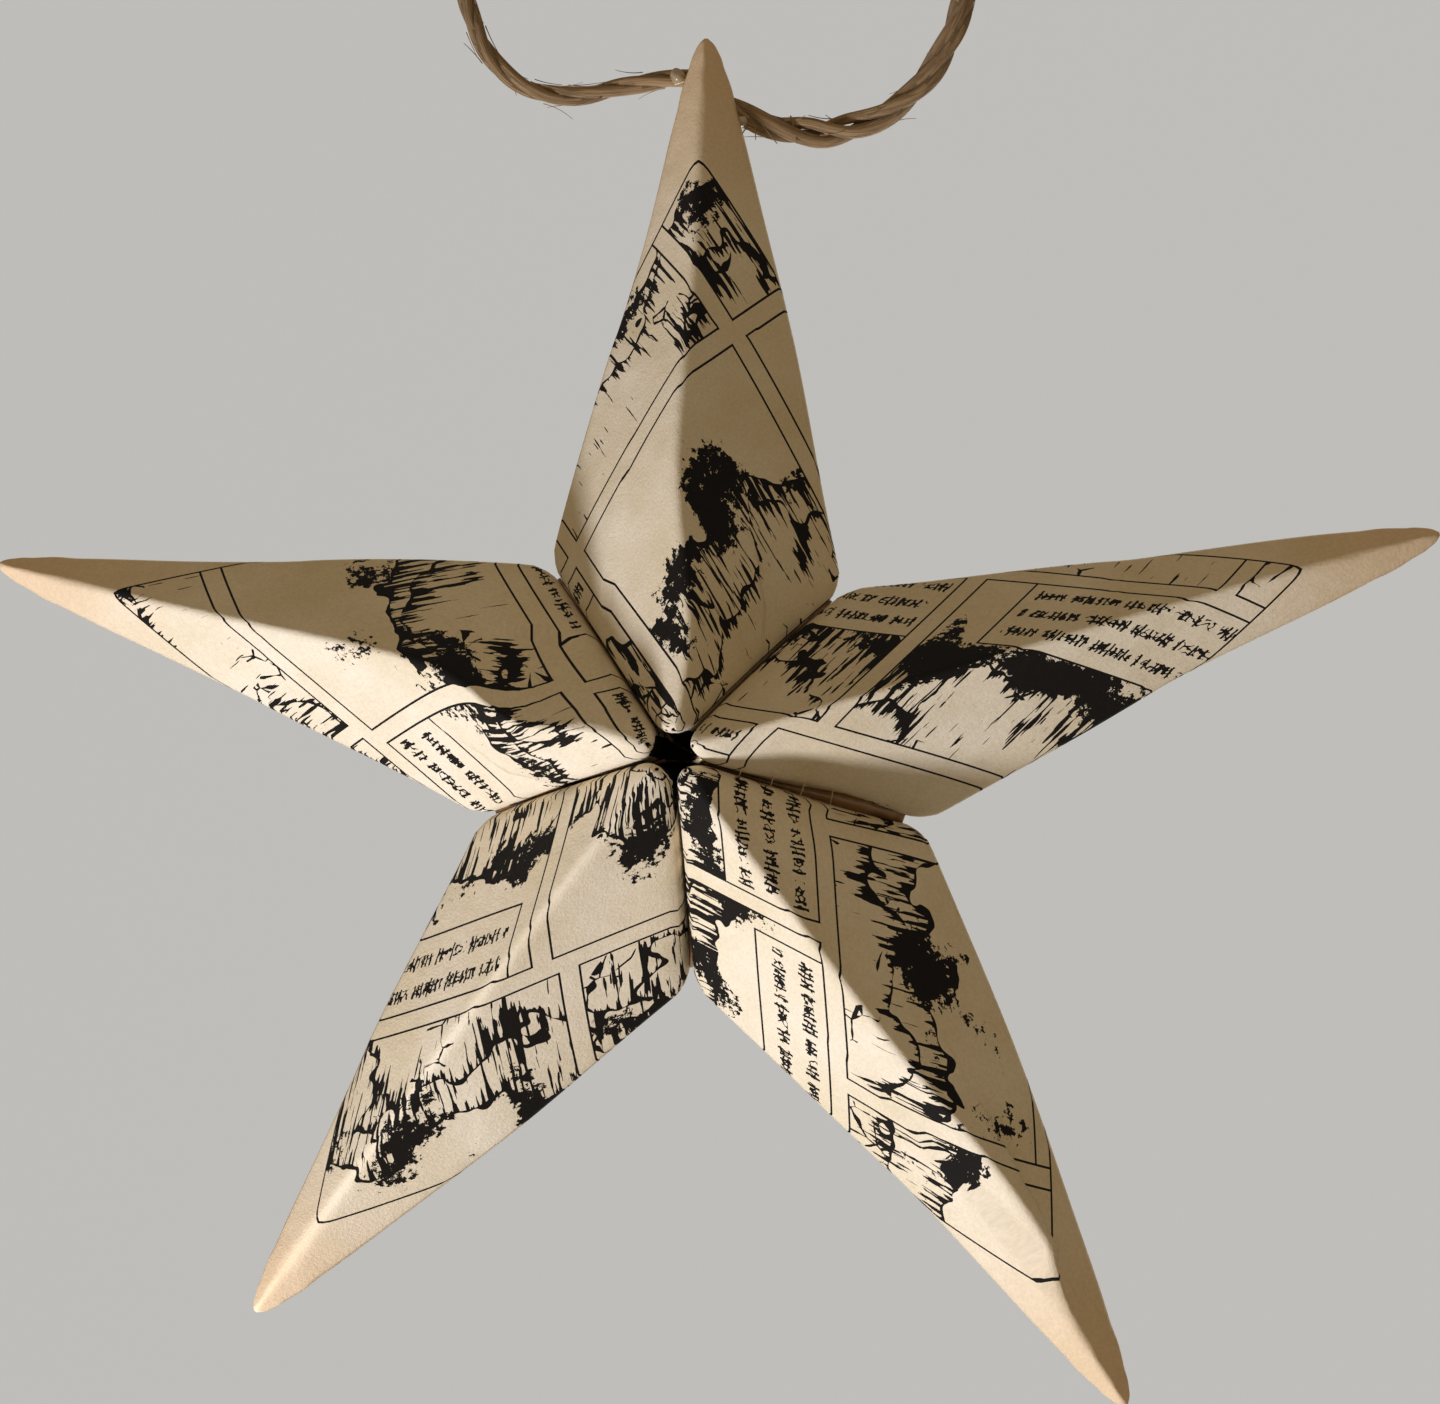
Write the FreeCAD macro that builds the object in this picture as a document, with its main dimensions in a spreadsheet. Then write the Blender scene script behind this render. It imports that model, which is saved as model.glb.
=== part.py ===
"""A hanging five-pointed star folded from book pages: five hollow paper points, glue, a twine loop.

The star hangs upright. Z is up, the front looks towards -Y, and the origin is the inside of the top
of the twine loop, where a hook or a twig bears. Each point is folded from one square page: a raised
ridge from the middle of the star to the tip, two sloping front faces, two inner walls that meet the
neighbours' walls, and a flat back closed by the lapped edges of the page.
"""

import FreeCAD, Part
import math
import os

import Sketcher
from FreeCAD import Placement, Rotation, Vector

POINT_NAMES = (
    "point_top",
    "point_upper_right",
    "point_lower_right",
    "point_lower_left",
    "point_upper_left",
)
SEAM_NAMES = (
    "glue_seam_upper_right",
    "glue_seam_right",
    "glue_seam_bottom",
    "glue_seam_left",
    "glue_seam_upper_left",
)
TURN = 360.0 / len(POINT_NAMES)

# Sizes that can be set by themselves, in millimetres and degrees
SIZES = (
    ("page_side", 100.0, "side of the square page that makes one point"),
    ("ridge_drop", 11.0, "how far the ridge falls back from the middle to the tip, degrees"),
    ("paper_thickness", 0.12, "thickness of the page"),
    ("corner_radius", 3.5, "rounding of the wide corners, seen from the front"),
    ("tip_radius", 0.9, "rounding of the tip, seen from the front"),
    ("nose_radius", 2.0, "rounding of the inner end, which leaves the hole in the middle"),
    ("ridge_radius", 1.0, "softness of the ridge crease"),
    ("glue_film", 0.3, "thickness of the glue between two walls"),
    ("glue_margin", 1.2, "paper left bare round the glue on a wall"),
    ("twine_diameter", 2.2, "thickness of the jute twine"),
    ("twine_film", 0.5, "glue between the twine and the paper"),
    ("hang_drop", 43.2, "from the top of the loop down to the end of the top point"),
    ("dab_setback", 4.9, "from the end of the top point down to the middle of the glue dab"),
    ("dab_width", 5.2, "width of the glue dab behind the tip"),
    ("dab_height", 5.6, "height of the glue dab behind the tip"),
    ("dab_depth", 2.6, "how far the glue dab stands off the paper"),
)

# What the folds make of those sizes: 45 degrees of page on each side of the ridge at the middle of
# the star, and 22.5 degrees at the tip after the kite fold
FOLDS = (
    ("wedge_half", str(TURN / 2), "half of the angle that one point fills"),
    ("ridge_length", "=Sizes.page_side / sqrt(2)", "middle of the star to the tip, along the ridge"),
    ("side_fold", "=ridge_length * tan(22.5)", "middle of the star to a wide corner"),
    ("tip_reach", "=ridge_length * cos(Sizes.ridge_drop)", "tip, out from the axis"),
    ("tip_drop", "=ridge_length * sin(Sizes.ridge_drop)", "tip, back from the front"),
    ("lean_flat", "=cos(Sizes.ridge_drop) * cos(wedge_half)", "ridge against wall, flat share"),
    ("lean_deep", "=sin(Sizes.ridge_drop)", "ridge against wall, share front to back"),
    (
        "wall_drop",
        "=atan(lean_deep / lean_flat) + acos(cos(45) / sqrt(lean_flat ^ 2 + lean_deep ^ 2))",
        "how far the front edge of a wall falls back, which keeps 45 degrees of page beside the ridge",
    ),
    ("wall_reach", "=side_fold * cos(wall_drop)", "wide corner, out from the axis along the wall"),
    ("corner_depth", "=side_fold * sin(wall_drop)", "wide corner, back from the front"),
    ("corner_along", "=wall_reach * cos(wedge_half)", "wide corner, along the point"),
    ("corner_across", "=wall_reach * sin(wedge_half)", "wide corner, across the point"),
    ("back_slope", "=(corner_depth - tip_drop) / (tip_reach - corner_along)", "rise of the back"),
    ("back_depth", "=corner_depth + corner_along * back_slope", "depth of the star in the middle"),
    ("face_fall", "=corner_depth - corner_along * tan(Sizes.ridge_drop)", "fall of a front face"),
    ("tip_half", "=atan(corner_across / (tip_reach - corner_along))", "half of the angle at the tip"),
    ("blunt_reach", "=tip_reach - Sizes.tip_radius * (1 / sin(tip_half) - 1)", "end of the round tip"),
    ("back_tilt", "=atan(back_slope)", "lean of the back"),
    (
        "face_step",
        "=Sizes.paper_thickness * sqrt(1 + tan(Sizes.ridge_drop) ^ 2 + (face_fall / corner_across) ^ 2)",
        "thickness of a front face, front to back",
    ),
    ("flap_cross", "=22.5 deg - atan(tan(tip_half) * cos(back_tilt))", "lap over the middle line"),
    (
        "flap_along",
        "=tip_reach - Sizes.page_side / 2 * cos(flap_cross) * cos(back_tilt)",
        "far corner of the lapped flap, along the point",
    ),
    ("flap_across", "=Sizes.page_side / 2 * sin(flap_cross)", "far corner of the lapped flap, across"),
    ("lap_step", "=Sizes.paper_thickness / cos(back_tilt)", "flap thickness, front to back"),
    ("seat_out", "=Sizes.glue_film / 2 / sin(wedge_half)", "room that the glue takes"),
    ("dab_reach", "=blunt_reach - Sizes.dab_setback", "glue dab, out from the inner end of the point"),
    ("dab_back", "=back_depth + lap_step - dab_reach * back_slope", "paper behind the dab"),
    (
        "centre_y",
        "=-dab_back - Sizes.twine_film - Sizes.twine_diameter / 2",
        "front of the middle of the star, which leaves the twine in the plane Y = 0",
    ),
    ("centre_z", "=-Sizes.hang_drop - blunt_reach - seat_out", "height of the middle of the star"),
    ("glue_start", "=Sizes.nose_radius / tan(wedge_half) + Sizes.glue_margin", "inner edge of a seam"),
    ("wall_share", "=1 - glue_start / wall_reach", "height of a wall there, against the middle"),
    (
        "glue_end",
        "=wall_reach * (1 - 2 * Sizes.glue_margin / back_depth)",
        "outer end of a seam, where its two margins meet",
    ),
    ("glue_front", "=glue_start * corner_depth / wall_reach + Sizes.glue_margin", "seam, inner front"),
    (
        "glue_back",
        "=glue_front - 2 * Sizes.glue_margin + back_depth * wall_share",
        "seam, inner back",
    ),
    ("glue_tip", "=glue_end * corner_depth / wall_reach + Sizes.glue_margin", "seam, outer end"),
)

# Route of the twine, from the glue dab round the loop and back to it, as X and Z in the plane Y = 0
TWINE_ROUTE = (
    (-0.5, -46.9),
    (-6.0, -47.3),
    (-12.0, -49.6),
    (-17.4, -47.6),
    (-20.4, -42.6),
    (-22.2, -34.6),
    (-22.6, -21.5),
    (-16.8, -8.2),
    (-7.0, 1.1),
    (7.0, 1.1),
    (18.6, -9.0),
    (24.4, -24.0),
    (23.4, -37.2),
    (20.8, -45.2),
    (16.2, -50.6),
    (9.6, -52.4),
    (4.2, -50.0),
    (1.0, -48.9),
)
# Share of the shorter run that an arc of the twine takes up
ARC_SHARE = 0.45
# Flats round the section of the twine
TWINE_FLATS = 12

PLAN = Rotation()
SIDE = Rotation(Vector(1, 0, 0), 90)
SECTION = Rotation(Vector(1, 1, 1), 120)


def fill_sheet(doc, name, rows):
    """A sheet with one row per size: its name, its value under that alias, and what it is."""
    sheet = doc.addObject("Spreadsheet::Sheet", name)
    for row, (alias, value, meaning) in enumerate(rows, start=1):
        sheet.set(f"A{row}", alias)
        sheet.setAlias(f"B{row}", alias)
        sheet.set(f"C{row}", meaning)
    for row, (alias, value, meaning) in enumerate(rows, start=1):
        sheet.set(f"B{row}", str(value))
    doc.recompute()
    return sheet


def number(value):
    """A quantity or a plain value as a float."""
    return float(getattr(value, "Value", value))


def outline(doc, sheet, name, corners, turn=PLAN, body=None):
    """A closed sketch of straight lines. A corner is two expressions, or 0 for one on an axis."""
    if body is None:
        sketch = doc.addObject("Sketcher::SketchObject", name)
        sketch.Placement = Placement(Vector(), turn)
    else:
        sketch = body.newObject("Sketcher::SketchObject", name)
        plane = [item for item in body.Origin.OriginFeatures if item.Role == "XY_Plane"][0]
        sketch.AttachmentSupport = [(plane, "")]
        sketch.MapMode = "FlatFace"
    places = []
    for corner in corners:
        across, up = [0.0 if term == 0 else number(sheet.evalExpression(term)) for term in corner]
        places.append(Vector(across, up, 0))
    count = len(places)
    for index in range(count):
        sketch.addGeometry(Part.LineSegment(places[index], places[(index + 1) % count]), False)
    for index in range(count):
        sketch.addConstraint(
            Sketcher.Constraint("Coincident", index, 2, (index + 1) % count, 1)
        )
    for index, corner in enumerate(corners):
        for axis, kind in enumerate(("DistanceX", "DistanceY")):
            if corner[axis] == 0:
                # the vertical axis of a sketch is -2 and holds X at zero, the horizontal one is -1
                sketch.addConstraint(Sketcher.Constraint("PointOnObject", index, 1, axis - 2))
                continue
            label = f"corner_{index}_{'xy'[axis]}"
            size = Sketcher.Constraint(kind, -1, 1, index, 1, places[index][axis])
            place = sketch.addConstraint(size)
            sketch.renameConstraint(place, label)
            sketch.setExpression(f"Constraints.{label}", corner[axis])
    return sketch


def extrusion(doc, name, sketch, length, symmetric=False, along=None):
    """A prism from a sketch, along its normal or along a direction given by three expressions."""
    prism = doc.addObject("Part::Extrusion", name)
    prism.Base = sketch
    prism.Solid = True
    prism.Symmetric = symmetric
    prism.DirMode = "Normal" if along is None else "Custom"
    prism.setExpression("LengthFwd", length)
    if along is not None:
        for axis, expression in zip("xyz", along):
            prism.setExpression(f"Dir.{axis}", expression)
    return prism


def upright_edges(shape, across):
    """Names of the upright edges of a prism that stand at a place along X, on either side."""
    names = []
    for index, edge in enumerate(shape.Edges, start=1):
        ends = [vertex.Point for vertex in edge.Vertexes]
        if len(ends) != 2:
            continue
        flat = Vector(ends[0].x - ends[1].x, ends[0].y - ends[1].y, 0).Length
        if flat < 1e-6 and abs(ends[0].x - across) < 1e-3:
            names.append(f"Edge{index}")
    return names


def plan_prism(doc, sheet, name):
    """The kite that a point fills, seen from the front, with its four corners rounded."""
    body = doc.addObject("PartDesign::Body", f"{name}_plan")
    kite = outline(
        doc,
        sheet,
        f"{name}_kite",
        (
            (0, 0),
            ("Folds.corner_along", "-Folds.corner_across"),
            ("Folds.tip_reach", 0),
            ("Folds.corner_along", "Folds.corner_across"),
        ),
        body=body,
    )
    pad = body.newObject("PartDesign::Pad", f"{name}_pad")
    pad.Profile = kite
    pad.Reversed = True
    pad.setExpression("Length", "Folds.back_depth + 2 * Folds.lap_step")
    doc.recompute()
    feature = pad
    for part, place, radius in (
        ("wide", "Folds.corner_along", "Sizes.corner_radius"),
        ("tip", "Folds.tip_reach", "Sizes.tip_radius"),
        ("nose", "0", "Sizes.nose_radius"),
    ):
        edges = upright_edges(feature.Shape, number(sheet.evalExpression(place)))
        rounding = body.newObject("PartDesign::Fillet", f"{name}_{part}_rounding")
        rounding.Base = (feature, edges)
        rounding.setExpression("Radius", radius)
        doc.recompute()
        feature = rounding
    return body


def ridge_edges(shape, shortest):
    """Numbers of the edges that run along the ridge of a point, in its plane of symmetry."""
    numbers = []
    for index, edge in enumerate(shape.Edges, start=1):
        box = edge.BoundBox
        if box.YLength < 1e-6 and abs(box.Center.y) < 1e-6 and box.XLength > shortest:
            numbers.append(index)
    top = max(shape.Edges[index - 1].BoundBox.ZMax for index in numbers)
    return [index for index in numbers if shape.Edges[index - 1].BoundBox.ZMax > top - 1e-6]


def faceted(doc, sheet, name, plan, face_step, back_step, ridge_radius):
    """What lies inside a plan prism, under the two front faces and before the back.

    The front faces and the back can stand in from the outside of the page by a step each.
    """
    section = outline(
        doc,
        sheet,
        f"{name}_section",
        (
            (0, 0),
            ("2 * Folds.corner_across", "-2 * Folds.face_fall"),
            ("2 * Folds.corner_across", "-2 * Folds.face_fall - Folds.back_depth"),
            ("-2 * Folds.corner_across", "-2 * Folds.face_fall - Folds.back_depth"),
            ("-2 * Folds.corner_across", "-2 * Folds.face_fall"),
        ),
        SECTION,
    )
    fall = ("cos(Sizes.ridge_drop)", "0", "-sin(Sizes.ridge_drop)")
    faces = extrusion(doc, f"{name}_faces", section, "Folds.ridge_length", along=fall)
    profile = outline(
        doc,
        sheet,
        f"{name}_profile",
        (
            (0, "Folds.back_depth"),
            (0, "-Folds.back_depth"),
            ("Folds.tip_reach", "-Folds.tip_drop"),
            ("Folds.tip_reach", "Folds.back_depth"),
        ),
        SIDE,
    )
    side = extrusion(doc, f"{name}_side", profile, "4 * Folds.corner_across", symmetric=True)
    if face_step:
        faces.setExpression("Placement.Base.z", f"-{face_step}")
        side.setExpression("Placement.Base.z", back_step)
    block = doc.addObject("Part::MultiCommon", f"{name}_block")
    block.Shapes = [plan, faces, side]
    doc.recompute()
    soft = doc.addObject("Part::Fillet", f"{name}_soft")
    soft.Base = block
    radius = number(sheet.evalExpression(ridge_radius))
    shortest = number(sheet.evalExpression("Folds.tip_reach / 2"))
    soft.Edges = [(index, radius, radius) for index in ridge_edges(block.Shape, shortest)]
    doc.recompute()
    return soft


def paper_point(doc, sheet, name):
    """One folded point: the hollow page, and the flap that laps over its back."""
    plan = plan_prism(doc, sheet, name)
    outside = faceted(doc, sheet, f"{name}_outside", plan, None, None, "Sizes.ridge_radius")
    inner_plan = doc.addObject("Part::Offset", f"{name}_inner_plan")
    inner_plan.Source = plan
    inner_plan.Mode = "Skin"
    inner_plan.Join = "Intersection"
    inner_plan.setExpression("Value", "-Sizes.paper_thickness")
    inside = faceted(
        doc,
        sheet,
        f"{name}_inside",
        inner_plan,
        "Folds.face_step",
        "Folds.lap_step",
        "Sizes.ridge_radius - Sizes.paper_thickness",
    )
    page = doc.addObject("Part::Cut", f"{name}_page")
    page.Base = outside
    page.Tool = inside
    flap_plan = extrusion(
        doc,
        f"{name}_flap_plan",
        outline(
            doc,
            sheet,
            f"{name}_flap_outline",
            (
                ("Folds.corner_along", "Folds.corner_across"),
                ("Folds.flap_along", "-Folds.flap_across"),
                ("Folds.tip_reach", 0),
            ),
        ),
        "-2 * Folds.back_depth",
    )
    flap_side = extrusion(
        doc,
        f"{name}_flap_side",
        outline(
            doc,
            sheet,
            f"{name}_flap_profile",
            (
                (0, "-Folds.back_depth"),
                (0, "-Folds.back_depth - Folds.lap_step"),
                ("Folds.tip_reach", "-Folds.tip_drop - Folds.lap_step"),
                ("Folds.tip_reach", "-Folds.tip_drop"),
            ),
            SIDE,
        ),
        "4 * Folds.corner_across",
        symmetric=True,
    )
    flap = doc.addObject("Part::MultiCommon", f"{name}_flap")
    flap.Shapes = [plan, flap_plan, flap_side]
    point = doc.addObject("Part::MultiFuse", name)
    point.Shapes = [page, flap]
    return point


def place(item, angle, out="0"):
    """Stands a piece in the star: its own X outwards at an angle from the top, its Z to the front."""
    turn = math.radians(angle)
    outwards = Vector(math.sin(turn), 0, math.cos(turn))
    front = Vector(0, -1, 0)
    item.Placement = Placement(Vector(), Rotation(outwards, front.cross(outwards), front, "ZXY"))
    item.setExpression("Placement.Base.x", f"({out}) * sin({angle})")
    item.setExpression("Placement.Base.y", "Folds.centre_y")
    item.setExpression("Placement.Base.z", f"Folds.centre_z + ({out}) * cos({angle})")


def glue_seam(doc, sheet, name):
    """The thin layer of hot glue between two neighbouring walls."""
    corners = (
        ("Folds.glue_start", "-Folds.glue_front"),
        ("Folds.glue_start", "-Folds.glue_back"),
        ("Folds.glue_end", "-Folds.glue_tip"),
    )
    wall = outline(doc, sheet, f"{name}_outline", corners, SIDE)
    return extrusion(doc, name, wall, "Sizes.glue_film", symmetric=True)


def twine_path(route, share):
    """Straight runs joined by tangent arcs, with the radius of each arc in a list."""
    points = [Vector(across, 0, up) for across, up in route]
    edges = []
    radii = []
    start = points[0]
    for before, corner, after in zip(points, points[1:], points[2:]):
        backwards = (before - corner).normalize()
        onwards = (after - corner).normalize()
        run = min((before - corner).Length, (after - corner).Length)
        half_turn = (math.pi - backwards.getAngle(onwards)) / 2
        setback = share * run
        radii.append(setback / math.tan(half_turn))
        enter = corner + backwards * setback
        leave = corner + onwards * setback
        middle = (backwards + onwards).normalize()
        near = radii[-1] / math.cos(half_turn) - radii[-1]
        edges.append(Part.LineSegment(start, enter).toShape())
        edges.append(Part.Arc(enter, corner + middle * near, leave).toShape())
        start = leave
    edges.append(Part.LineSegment(start, points[-1]).toShape())
    return Part.Wire(edges), radii


def twine_loop(doc, sheet, name):
    """The jute twine: one length, from the glue round the loop and back into the glue."""
    path, radii = twine_path(TWINE_ROUTE, ARC_SHARE)
    radius = number(sheet.evalExpression("Sizes.twine_diameter / 2"))
    heading = Vector(path.Edges[0].tangentAt(path.Edges[0].FirstParameter))
    start = path.Edges[0].Vertexes[0].Point
    sideways = Vector(0, 1, 0)
    across = heading.cross(sideways)
    step = 2 * math.pi / TWINE_FLATS
    ring = []
    for turn in range(TWINE_FLATS):
        out = across * math.cos(turn * step) + sideways * math.sin(turn * step)
        ring.append(start + out * radius)
    section = Part.makePolygon(ring + ring[:1])
    tube = path.makePipeShell([section], True, False)
    twine = doc.addObject("Part::Feature", name)
    twine.Shape = tube
    ideal = TWINE_FLATS / 2 * radius**2 * math.sin(step) * path.Length
    print(f"twine: {path.Length:.1f} mm long, volume {tube.Volume:.1f} of {ideal:.1f} mm3")
    print("twine arc radii, mm:", ", ".join(f"{radius:.1f}" for radius in radii))
    return twine


def glue_dab(doc, name, twine):
    """The dome of glue on the back of the top point, seated round both ends of the twine."""
    dome = doc.addObject("Part::Ellipsoid", f"{name}_dome")
    dome.setExpression("Radius1", "Sizes.dab_depth")
    dome.setExpression("Radius2", "Sizes.dab_width / 2")
    dome.setExpression("Radius3", "Sizes.dab_height / 2")
    dome.Angle1 = 0
    dome.Placement = Placement(Vector(), Rotation(Vector(1, 0, 0), -90))
    dome.setExpression("Placement.Rotation.Angle", "Folds.back_tilt - 90 deg")
    dome.setExpression("Placement.Base.y", "Folds.centre_y + Folds.dab_back")
    dome.setExpression("Placement.Base.z", "Folds.centre_z + Folds.seat_out + Folds.dab_reach")
    dab = doc.addObject("Part::Cut", name)
    dab.Base = dome
    dab.Tool = twine
    return dab


def build_star():
    """The document of the star and its pieces, in the order of their names."""
    doc = FreeCAD.newDocument("folded_star")
    sheet = fill_sheet(doc, "Sizes", SIZES)
    fill_sheet(doc, "Folds", FOLDS)
    pieces = []
    for number_of_turns, name in enumerate(POINT_NAMES):
        point = paper_point(doc, sheet, name)
        place(point, number_of_turns * TURN, "Folds.seat_out")
        pieces.append(point)
    for number_of_turns, name in enumerate(SEAM_NAMES):
        seam = glue_seam(doc, sheet, name)
        place(seam, (number_of_turns + 0.5) * TURN)
        pieces.append(seam)
    twine = twine_loop(doc, sheet, "hanging_twine")
    pieces.append(twine)
    pieces.append(glue_dab(doc, "glue_dab", twine))
    for piece in pieces:
        piece.Label = piece.Name
    doc.recompute()
    return doc, pieces


def check(doc, pieces):
    """Stops where an object failed to build, or where a piece isn't whole."""
    for item in doc.Objects:
        faults = {"Invalid", "Error"}.intersection(item.State)
        if faults:
            raise RuntimeError(f"{item.Name} failed: {sorted(faults)}")
    for piece in pieces:
        shape = piece.Shape
        if shape.isNull() or not shape.isValid() or len(shape.Solids) != 1:
            raise RuntimeError(f"{piece.Name} has no single valid solid")


def write(pieces):
    """Writes each piece to a file of its own."""
    os.makedirs("parts", exist_ok=True)
    for piece in pieces:
        piece.Shape.exportStep(f"parts/{piece.Label}.step")
        box = piece.Shape.BoundBox
        print(
            f"{piece.Label}: {piece.Shape.Volume:.1f} mm3, "
            f"{box.XLength:.1f} x {box.YLength:.1f} x {box.ZLength:.1f} mm"
        )


star, star_pieces = build_star()
check(star, star_pieces)
write(star_pieces)
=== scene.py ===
"""A hanging star of five folded page points, hot glue and jute twine: its looks, light and camera."""
import logging
import math
import random
from dataclasses import dataclass, field
from enum import Enum

import bmesh
import bpy
import numpy as np
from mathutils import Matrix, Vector, noise


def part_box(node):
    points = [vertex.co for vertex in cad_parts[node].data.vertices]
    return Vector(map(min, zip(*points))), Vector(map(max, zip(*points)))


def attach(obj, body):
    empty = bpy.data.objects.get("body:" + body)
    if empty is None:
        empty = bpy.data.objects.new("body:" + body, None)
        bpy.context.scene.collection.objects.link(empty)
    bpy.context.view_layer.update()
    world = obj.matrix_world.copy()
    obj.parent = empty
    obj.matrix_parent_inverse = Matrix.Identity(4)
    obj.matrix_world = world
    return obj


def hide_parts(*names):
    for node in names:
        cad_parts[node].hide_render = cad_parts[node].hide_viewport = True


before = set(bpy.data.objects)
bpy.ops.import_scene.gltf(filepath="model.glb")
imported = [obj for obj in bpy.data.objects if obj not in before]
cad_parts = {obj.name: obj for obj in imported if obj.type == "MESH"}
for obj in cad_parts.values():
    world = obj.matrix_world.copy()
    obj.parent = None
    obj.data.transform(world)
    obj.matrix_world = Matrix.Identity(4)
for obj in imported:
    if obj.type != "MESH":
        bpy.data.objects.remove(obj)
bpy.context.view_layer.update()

LOG = logging.getLogger("folded_star")
MM = 0.001
BODY = "root"

Socket = bpy.types.NodeSocket
Pair = tuple[float, float]
Triple = tuple[float, float, float]
# result, kind of node, settings, and the named results that feed it
NodeRows = tuple[tuple[str, str, dict, dict], ...]
MATH = "ShaderNodeMath"
MIX = "ShaderNodeMix"
BUMP = "ShaderNodeBump"
VECTOR = "ShaderNodeVectorMath"
NOISE = "ShaderNodeTexNoise"
WHITE = "ShaderNodeTexWhiteNoise"
COMBINE = "ShaderNodeCombineXYZ"
MAPPING = "ShaderNodeMapping"
RANGE = "ShaderNodeMapRange"


class Slot(Enum):
    """The record's material slots."""

    PAPER = "page_paper"
    GLUE = "hot_glue"
    TWINE = "jute_twine"


class Side(Enum):
    """The two halves of a point, seen from the front with its tip up."""

    LEFT = 1
    RIGHT = -1


def linear(code: str, alpha: float = 1.0) -> tuple[float, float, float, float]:
    """Turns an sRGB hex colour to the linear one that a shader takes.

    Args:
        code: Six hex digits, with or without a leading #.
        alpha: The fourth channel.

    Returns:
        Red, green, blue and alpha.
    """
    digits = code.lstrip("#")
    shares = [int(digits[place : place + 2], 16) / 255 for place in (0, 2, 4)]
    red, green, blue = [
        share / 12.92 if share <= 0.04045 else ((share + 0.055) / 1.055) ** 2.4 for share in shares
    ]
    return red, green, blue, alpha


def add_node(
    tree: bpy.types.NodeTree, kind: str, settings: dict | None = None, links: dict | None = None
) -> bpy.types.Node:
    """Adds one node with its settings and its links.

    Args:
        tree: The tree that takes the node.
        kind: The node's type name.
        settings: Values by the name of a property, or by the name or number of an input.
        links: Output sockets by the name or number of the input that each one feeds.

    Returns:
        The new node.
    """
    node = tree.nodes.new(kind)
    for key, value in (settings or {}).items():
        if isinstance(key, str) and hasattr(node, key):
            setattr(node, key, value)
        else:
            node.inputs[key].default_value = value
    for key, socket in (links or {}).items():
        tree.links.new(socket, node.inputs[key])
    return node


def smoothstep(values: np.ndarray, low: float, high: float) -> np.ndarray:
    """A soft step from 0 at low to 1 at high."""
    share = np.clip((values - low) / (high - low), 0.0, 1.0)
    return share * share * (3.0 - 2.0 * share)


def coordinates(bm: bmesh.types.BMesh) -> np.ndarray:
    """The places of a bmesh's vertices, one row each."""
    return np.array([vert.co[:] for vert in bm.verts], float)


def set_coordinates(bm: bmesh.types.BMesh, places: np.ndarray) -> None:
    """Moves a bmesh's vertices to new places, one row each."""
    for vert, place in zip(bm.verts, places):
        vert.co = place


def finish_piece(
    name: str, mesh: bpy.types.Mesh, finish: bpy.types.Material, nodes: tuple[str, ...] = ()
) -> bpy.types.Object:
    """Makes a mesh a piece of the star that rides on its body and stands for CAD nodes.

    Args:
        name: The piece's name.
        mesh: Its mesh, in metres in the row frame.
        finish: Its material.
        nodes: The CAD nodes that it replaces.

    Returns:
        The piece's object.
    """
    mesh.name = name
    mesh.materials.clear()
    mesh.materials.append(finish)
    mesh.shade_smooth()
    piece = bpy.data.objects.new(name, mesh)
    bpy.context.scene.collection.objects.link(piece)
    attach(piece, BODY)
    if nodes:
        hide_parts(*nodes)
    LOG.info("%s: %d vertices, stands for %s", name, len(mesh.vertices), ", ".join(nodes) or "detail")
    return piece


@dataclass(frozen=True)
class StarLayout:
    """The folded sizes that all the points share, in millimetres and degrees, as the CAD model has them."""

    page_side: float = 100.0
    ridge_drop: float = 11.0
    wedge_half: float = 36.0
    seat_out: float = 0.2552
    centre_y: float = -16.2207
    centre_z: float = -109.8935

    @property
    def ridge_length(self) -> float:
        """Middle of the star to the tip, along the ridge."""
        return self.page_side / math.sqrt(2)

    @property
    def tip(self) -> Triple:
        """Where the page's corner lies, in the frame of a point."""
        drop = math.radians(self.ridge_drop)
        return self.ridge_length * math.cos(drop), 0.0, -self.ridge_length * math.sin(drop)

    @property
    def wide_corner(self) -> Triple:
        """Where the left wide corner lies, in the frame of a point."""
        drop = math.radians(self.ridge_drop)
        flat = math.cos(drop) * math.cos(math.radians(self.wedge_half))
        deep = math.sin(drop)
        fall = math.atan(deep / flat) + math.acos(math.sqrt(0.5) / math.hypot(flat, deep))
        fold = self.ridge_length * math.tan(math.radians(22.5))
        reach = fold * math.cos(fall)
        half = math.radians(self.wedge_half)
        return reach * math.cos(half), reach * math.sin(half), -fold * math.sin(fall)

    @property
    def back_slope(self) -> float:
        """Rise of the back towards the tip."""
        tip, corner = self.tip, self.wide_corner
        return (tip[2] - corner[2]) / (tip[0] - corner[0])

    def back_at(self, along: float) -> float:
        """Height of the flat back at a place along a point."""
        corner = self.wide_corner
        return corner[2] + (along - corner[0]) * self.back_slope

    def stand(self, places: np.ndarray, turn: float) -> np.ndarray:
        """Takes places from the frame of a point to the star's own, both in millimetres.

        Args:
            places: One row each: along the point, across it, and towards the viewer.
            turn: The point's angle from the top, in degrees.

        Returns:
            One row each: to the right, back and up.
        """
        angle = math.radians(turn)
        out = np.array((math.sin(angle), 0.0, math.cos(angle)))
        across = np.array((-math.cos(angle), 0.0, math.sin(angle)))
        front = np.array((0.0, -1.0, 0.0))
        base = np.array((0.0, self.centre_y, self.centre_z)) + out * self.seat_out
        return base + places @ np.stack((out, across, front))


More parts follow.
